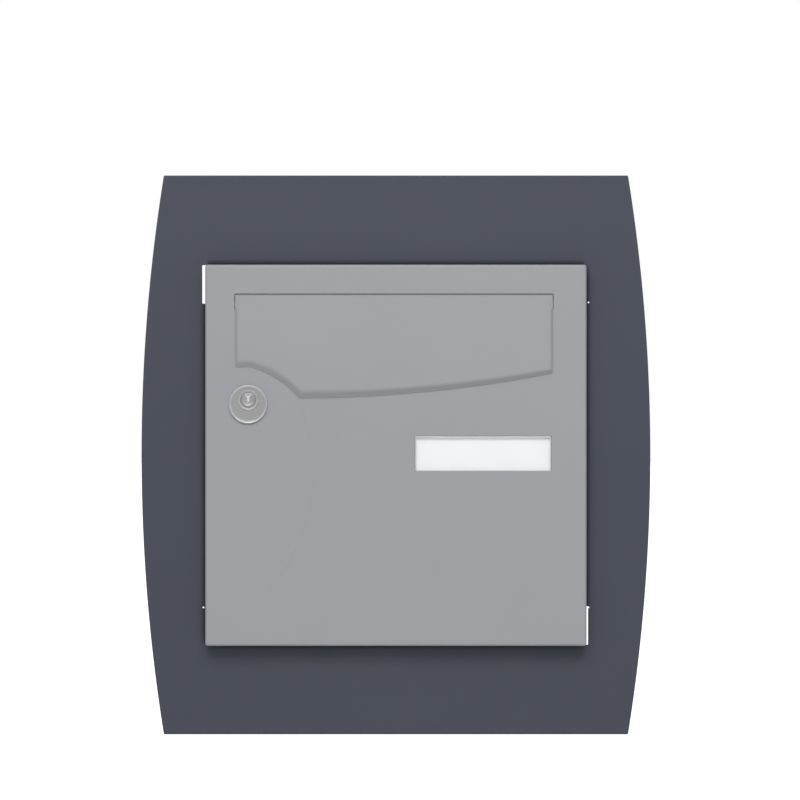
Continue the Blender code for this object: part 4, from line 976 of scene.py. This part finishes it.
def mail_flap():
    """A pressed cover over the slot: a raised face, a bevelled lower edge, a hollow back, a rolled top."""
    top = FLAP_AXIS.z + shoulder_height() - 0.3 * mm
    rim_y = DOOR_FRONT - 0.3 * mm
    rings = []
    for inset, rise, height in FLAP_EDGE:
        outline = mouth_outline(-FLAP_GAP, rise * mm, 0.8 * rise * mm, side_inset=inset * mm, top=top)
        rings.append([(x, rim_y - (flap_proud(z) - 0.3 * mm) * height, z) for x, z in outline])
    for inset, depth in ((0, 0.12), (0.12, 0)):
        outline = mouth_outline(-FLAP_GAP, inset * mm, side_inset=inset * mm, top=top)
        rings.append([(x, rim_y - depth * mm, z) for x, z in outline])
    margin = FLAP_OVERLAP + 1.2 * mm
    for inset, drop in ((0, None), (0.3, 0.3), (1.0, 0)):
        edge = margin + inset * mm
        outline = mouth_outline(-FLAP_GAP, edge, side_inset=edge, top=HOLLOW_TOP - inset * mm)
        ring = []
        for x, z in outline:
            floor_y = DOOR_FRONT - flap_proud(z) + FLAP_WALL
            ring.append((x, rim_y if drop is None else min(rim_y - 0.05 * mm, floor_y + drop * mm), z))
        rings.append(ring)
    flap = to_object(shape(add_loft, rings))
    rings = []
    inset = FLAP_GAP + 0.03 * mm
    for shrink, x in chamfered(MOUTH_LEFT + inset, MOUTH_RIGHT - inset, 0.25 * mm):
        rings.append([(x, y, z) for y, z in shrunk_section(flap_hood(), shrink)])
    combine(flap, shape(add_loft, rings), "UNION")
    radius, front = 4.8 * mm, DOOR_FRONT - 0.2 * mm
    rounded = arc(FLAP_AXIS.yz, radius, -math.pi / 2, math.pi / 2, 16)
    ear = [(front, FLAP_AXIS.z - radius)] + rounded + [(front, FLAP_AXIS.z + radius)]
    for ends in ((-104 * mm, -101 * mm), (96 * mm, 99 * mm)):
        combine(flap, shape(add_loft, [[(x, y, z) for y, z in ear] for x in ends]), "UNION")
    combine(flap, shape(add_rod, (MOUTH_LEFT, *FLAP_AXIS.yz), (MOUTH_RIGHT, *FLAP_AXIS.yz), 1.8 * mm))
    piece("mail_flap", "flap", BODY_PAINT, flap, smooth=24)


def flap_axle():
    low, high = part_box("flap_axle")
    half = (high.x - low.x) / 2
    end = [(0, half), (1.0 * mm, half), (1.5 * mm, half - 0.5 * mm)]
    profile = [(radius, -x) for radius, x in end] + end[::-1]
    centre = middle_of("flap_axle", y=FLAP_AXIS.y, z=FLAP_AXIS.z)
    turned_piece("flap_axle", centre, X, profile, "door", ZINC, 32, 0.15 * mm)


def axle_brackets():
    sheet = 1.5 * mm
    for name, x, side in (("left", -121 * mm, -1), ("right", 118 * mm, 1)):
        node = f"axle_bracket_{name}"
        low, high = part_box(node)
        outline = rectangle(low.y, low.z, high.y, high.z, 2.5 * mm, 6, only=(1, 2))
        ear = shape(add_loft, [[(level, y, z) for y, z in outline] for level in (x, x + sheet)])
        bracket = to_object(ear)
        middle = x + sheet / 2
        low_x, high_x = (low.x, middle) if side < 0 else (middle, high.x)
        leaf = rectangle(low_x, low.z, high_x, high.z, 2 * mm, only=(0, 3) if side < 0 else (1, 2))
        combine(bracket, shape(add_prism, leaf, low.y, low.y + 1.2 * mm), "UNION")
        holes = bmesh.new()
        for depth, radius in ((0, 1.8 * mm), (2.9 * mm, 0.9 * mm)):
            add_bore(holes, (x + 0.5 * mm, FLAP_AXIS.y + depth, FLAP_AXIS.z), X, 5.5 * mm, radius)
        face = x if side < 0 else x + sheet
        low_x, high_x = sorted((face, face + side * 5 * mm))
        bottom = (low_x, low.y - 1 * mm, FLAP_AXIS.z - 3 * mm)
        add_block(holes, bottom, (high_x, low.y + 5 * mm, FLAP_AXIS.z + 3 * mm))
        combine(bracket, holes)
        break_edges(bracket, 0.15 * mm)
        piece(node, "door", ZINC, bracket)


def axle_clips():
    profile = scaled([(1.75, 0), (2.3, 0), (2.3, 0.5), (2.05, 0.62), (1.75, 0.9)])
    for name, side in (("left", -1), ("right", 1)):
        node = f"axle_clip_{name}"
        low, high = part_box(node)
        centre = (high.x if side < 0 else low.x, *FLAP_AXIS.yz)
        turned_piece(node, centre, X * side, profile, "door", ZINC, 32, 0.08 * mm)


def flap_spring():
    """A torsion spring round the axle, whose left leg bears on the flap and whose right leg on the door."""
    reach, wire, turns = 2.9 * mm, 0.45 * mm, 5.5
    start_x, end_x = 101.2 * mm, 108.6 * mm
    axis = FLAP_AXIS
    path = [Vector((start_x, axis.y - reach, axis.z + rise * mm)) for rise in (4.2, 3, 2, 1)]
    steps = round(turns * 28)
    for i in range(steps + 1):
        angle = math.pi + 2 * math.pi * turns * i / steps
        x = start_x + (end_x - start_x) * i / steps
        path.append(Vector((x, axis.y + reach * math.cos(angle), axis.z + reach * math.sin(angle))))
    path += [Vector((x * mm, axis.y + reach, axis.z)) for x in (109.6, 111, 115, 121.6)]
    rings = []
    for i, point in enumerate(path):
        ahead, behind = path[min(i + 1, len(path) - 1)], path[max(i - 1, 0)]
        along = (ahead - behind).normalized()
        side = along.cross(Vector((1, 0.02, 0.01))).normalized()
        if side.length < 0.5:
            side = along.cross(Z).normalized()
        other = along.cross(side)
        ring = []
        for k in range(8):
            angle = 2 * math.pi * k / 8
            ring.append(point + side * wire * math.cos(angle) + other * wire * math.sin(angle))
        rings.append(ring)
    spring = to_object(shape(add_loft, rings), "flap_spring_look")
    material, slot = ZINC
    spring.data.materials.append(material)
    spring.data.shade_smooth()
    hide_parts("flap_spring")
    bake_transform(spring)


# Lock


def lock_rosette():
    """A dished enamelled ring with a bright rim, set a little below the plug's centre."""
    centre = middle_of("lock_rosette", y=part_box("lock_rosette")[1].y)
    profile = turned_path([
        (0, 0), (14.0, 0), (14.2, 0.5), (14.05, 1.35), (13.6, 1.7), (13.15, 1.55), (12.5, 0.95),
        (11.6, 0.75), (0, 0.7),
    ], 0.35 * mm)
    rosette = to_object(shape(add_turned, centre, -Y, profile, 96))
    combine(rosette, shape(add_bore, LOCK_FACE, Y, 10 * mm, 7.46 * mm, 64))
    piece("lock_rosette", "door", ROSETTE_METAL, rosette)
    use_second_material(rosette, lambda face: (face.center - centre).xz.length > 12.4 * mm)


def lock_housing():
    """The cylinder through the door, with a rolled mouth and a threaded outside behind the sheet."""
    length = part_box("lock_housing")[1].y - DOOR_FRONT
    bore, outside = 5.9 * mm, 7.4 * mm
    mouth = [(5.9, 1), (5.68, 0.7), (5.68, -0.5), (6.9, -1.55), (7.15, -1.7), (7.4, -1.4), (7.4, 1.4)]
    barrel = thread(outside, 2.6 * mm, length - 1.2 * mm, 0.4 * mm)
    profile = turned_path(mouth, 0.15 * mm) + barrel + [(outside - 0.5 * mm, length), (bore, length)]
    housing = piece("lock_housing", "door", HOUSING_METAL, shape(add_turned, LOCK_FACE, Y, profile, 64))
    use_second_material(housing, lambda face: face.center.y < DOOR_FRONT - 0.3 * mm)


def lock_nut():
    low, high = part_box("lock_nut")
    start = Vector((LOCK.x, low.y, LOCK.z))
    height = high.y - low.y
    nut = to_object(hexagon_bar(start, height, 12.7 * mm))
    combine(nut, shape(add_turned, start, Y, nut_bore(7.75 * mm, height, 1.4 * mm, 0.5 * mm), 64))
    piece("lock_nut", "door", ZINC, nut)


def lock_plug():
    """The plug: a chamfered face, a warded keyway with a shutter coloured pale as a painted glint, and a
    square tail.
    """
    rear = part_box("lock_plug")[1].y
    barrel = 18.5
    profile = turned_path([(0, -0.55), (4.7, -0.55), (5.6, -0.1), (5.6, barrel), (0, barrel)], 0.3 * mm)
    plug = to_object(shape(add_turned, LOCK_FACE, Y, profile, 64))
    half = 3 * mm
    tail = rectangle(LOCK.x - half, LOCK.z - half, LOCK.x + half, LOCK.z + half, 0.5 * mm, 3)
    combine(plug, shape(add_prism, tail, DOOR_FRONT + (barrel - 3) * mm, rear), "UNION")
    keyway = [
        (-0.75, -1.2), (0.75, -1.2), (0.75, 2.0), (2.7, 4.0), (2.0, 4.7), (0, 3.1), (-2.0, 4.7), (-2.7, 4.0),
        (-0.75, 2.0),
    ]
    outline = softened([(LOCK.x + x * mm, LOCK.z + z * mm) for x, z in keyway], 0.2 * mm, 2)
    shutter_y = DOOR_FRONT + 0.35 * mm
    slots = shape(add_prism, outline, DOOR_FRONT - 5 * mm, shutter_y)
    dish = [(0, -2), (4.4, -2), (4.0, -0.35), (3.2, -0.05), (0, 0)]
    add_turned(slots, LOCK_FACE, Y, scaled(dish), 64)
    add_rod(slots, (LOCK.x, rear - 6 * mm, LOCK.z), (LOCK.x, rear + 5 * mm, LOCK.z), 1.9 * mm)
    combine(plug, slots)
    piece("lock_plug", "lock", PLUG_METAL, plug)
    # The shutter's faces take the pale second material, a painted glint in the keyway.
    close = 0.02 * mm
    use_second_material(plug, lambda face: abs(face.center.y - shutter_y) < close and face.normal.y < -0.9)


def lock_cam():
    low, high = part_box("lock_cam")
    width = (high.x - low.x) / 2
    tip = low.z + width
    rounded = arc((LOCK.x, tip), width, math.pi, 2 * math.pi, 20) + arc(LOCK.xz, width, 0, math.pi, 20)
    centre = Vector((LOCK.x, (tip + LOCK.z) / 2))
    layers = [(drawn_in(rounded, centre, inset), y) for inset, y in chamfered(low.y, high.y, 0.25 * mm)]
    cam = to_object(shape(add_layers, layers))
    reach = Vector((3.25 * mm, 5 * mm, 3.25 * mm))
    hole_low, hole_high = Vector((LOCK.x, low.y, LOCK.z)), Vector((LOCK.x, high.y, LOCK.z))
    combine(cam, shape(add_block, hole_low - reach, hole_high + reach))
    piece("lock_cam", "lock", ZINC, cam)


def cam_screw():
    height = 2.8 * mm
    seat = Vector((LOCK.x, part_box("cam_screw")[1].y - height, LOCK.z))
    stem = [(0, -5 * mm)] + thread(1.6 * mm, -4.9 * mm, -0.1 * mm, 0.28 * mm)
    head = turned_path([(1.6, 0), (5.2, 0), (5.2, 0.9), (4.1, 2.2), (2.2, 2.7), (0, 2.8)], 0.3 * mm)
    screw_piece("cam_screw", "lock", seat, Y, stem + head, height, 2.6 * mm, 1.7 * mm)


# Studio


def floor():
    """A plain pale floor, well below the box, bright enough to read as white."""
    bpy.ops.mesh.primitive_plane_add(size=60, location=(0, 0, -0.62))
    ground = bpy.context.object
    ground.name = "floor"
    made, tree, shader = new_material("pale_floor", 0.9)
    shader.inputs["Base Color"].default_value = (0.72, 0.72, 0.72, 1)
    shader.inputs["Emission Color"].default_value = (1, 1, 1, 1)
    seen = shader_node(tree, "LightPath", "Is Camera Ray")
    tree.links.new(seen, shader.inputs["Emission Strength"])
    ground.data.materials.append(made)


def camera():
    """Straight on from a long way off, level with the upper part of the box."""
    distance = 2.3
    seen_width = 0.591
    data = bpy.data.cameras.new("camera")
    data.sensor_width = 36
    data.lens = data.sensor_width * distance / seen_width
    viewer = bpy.data.objects.new("camera", data)
    bpy.context.scene.collection.objects.link(viewer)
    viewer.location = (3 * mm, PLATE_FRONT - distance, 40.6 * mm)
    viewer.rotation_euler = (math.pi / 2, 0, 0)
    bpy.context.scene.camera = viewer


def area_light(name, place, target, width, power, height=None):
    data = bpy.data.lights.new(name, "AREA")
    data.energy = power
    data.size = width
    if height:
        data.shape = "RECTANGLE"
        data.size_y = height
    lamp = bpy.data.objects.new(name, data)
    bpy.context.scene.collection.objects.link(lamp)
    lamp.location = place
    lamp.rotation_euler = (Vector(target) - Vector(place)).to_track_quat("-Z", "Y").to_euler()


def lights():
    """A high key, a low fill, and a world that is brighter above than below and white to the camera."""
    area_light("key", (-0.09, PLATE_FRONT - 2.3, 1.75), (0, PLATE_FRONT, 0), 2.25, 51.3, 1.27)
    area_light("fill", (0.2, PLATE_FRONT - 2.3, -0.75), (0, PLATE_FRONT, -0.1), 1.4, 7.8)
    world = bpy.data.worlds.new("studio")
    bpy.context.scene.world = world
    world.use_nodes = True
    tree = world.node_tree
    tree.nodes.clear()
    height = shader_node(tree, "SeparateXYZ", "Z", Vector=shader_node(tree, "TexCoord", "Generated"))
    strength = remap(tree, height, 0.35, 0.535, -0.5, 0.6)
    around = shader_node(tree, "Background", "Background", Strength=strength)
    seen = shader_node(tree, "Background", "Background", Color=(1, 1, 1, 1))
    mix = tree.nodes.new("ShaderNodeMixShader")
    for socket, value in enumerate((shader_node(tree, "LightPath", "Is Camera Ray"), around, seen)):
        tree.links.new(value, mix.inputs[socket])
    output = tree.nodes.new("ShaderNodeOutputWorld")
    tree.links.new(mix.outputs["Shader"], output.inputs["Surface"])
    bpy.context.scene.view_settings.view_transform = "Standard"


MAKERS = (
    camera, lights, floor,
    surround_plate, plate_screws, clamp_frame, clamp_studs_and_nuts, letter_box, back_panel, rivets,
    hinge_brackets, hinge_pins, seals,
    door_panel, hinge_bushes, name_plate, name_holder,
    mail_flap, flap_axle, axle_brackets, axle_clips, flap_spring,
    lock_rosette, lock_housing, lock_nut, lock_plug, lock_cam, cam_screw,
)
for make in MAKERS:
    make()
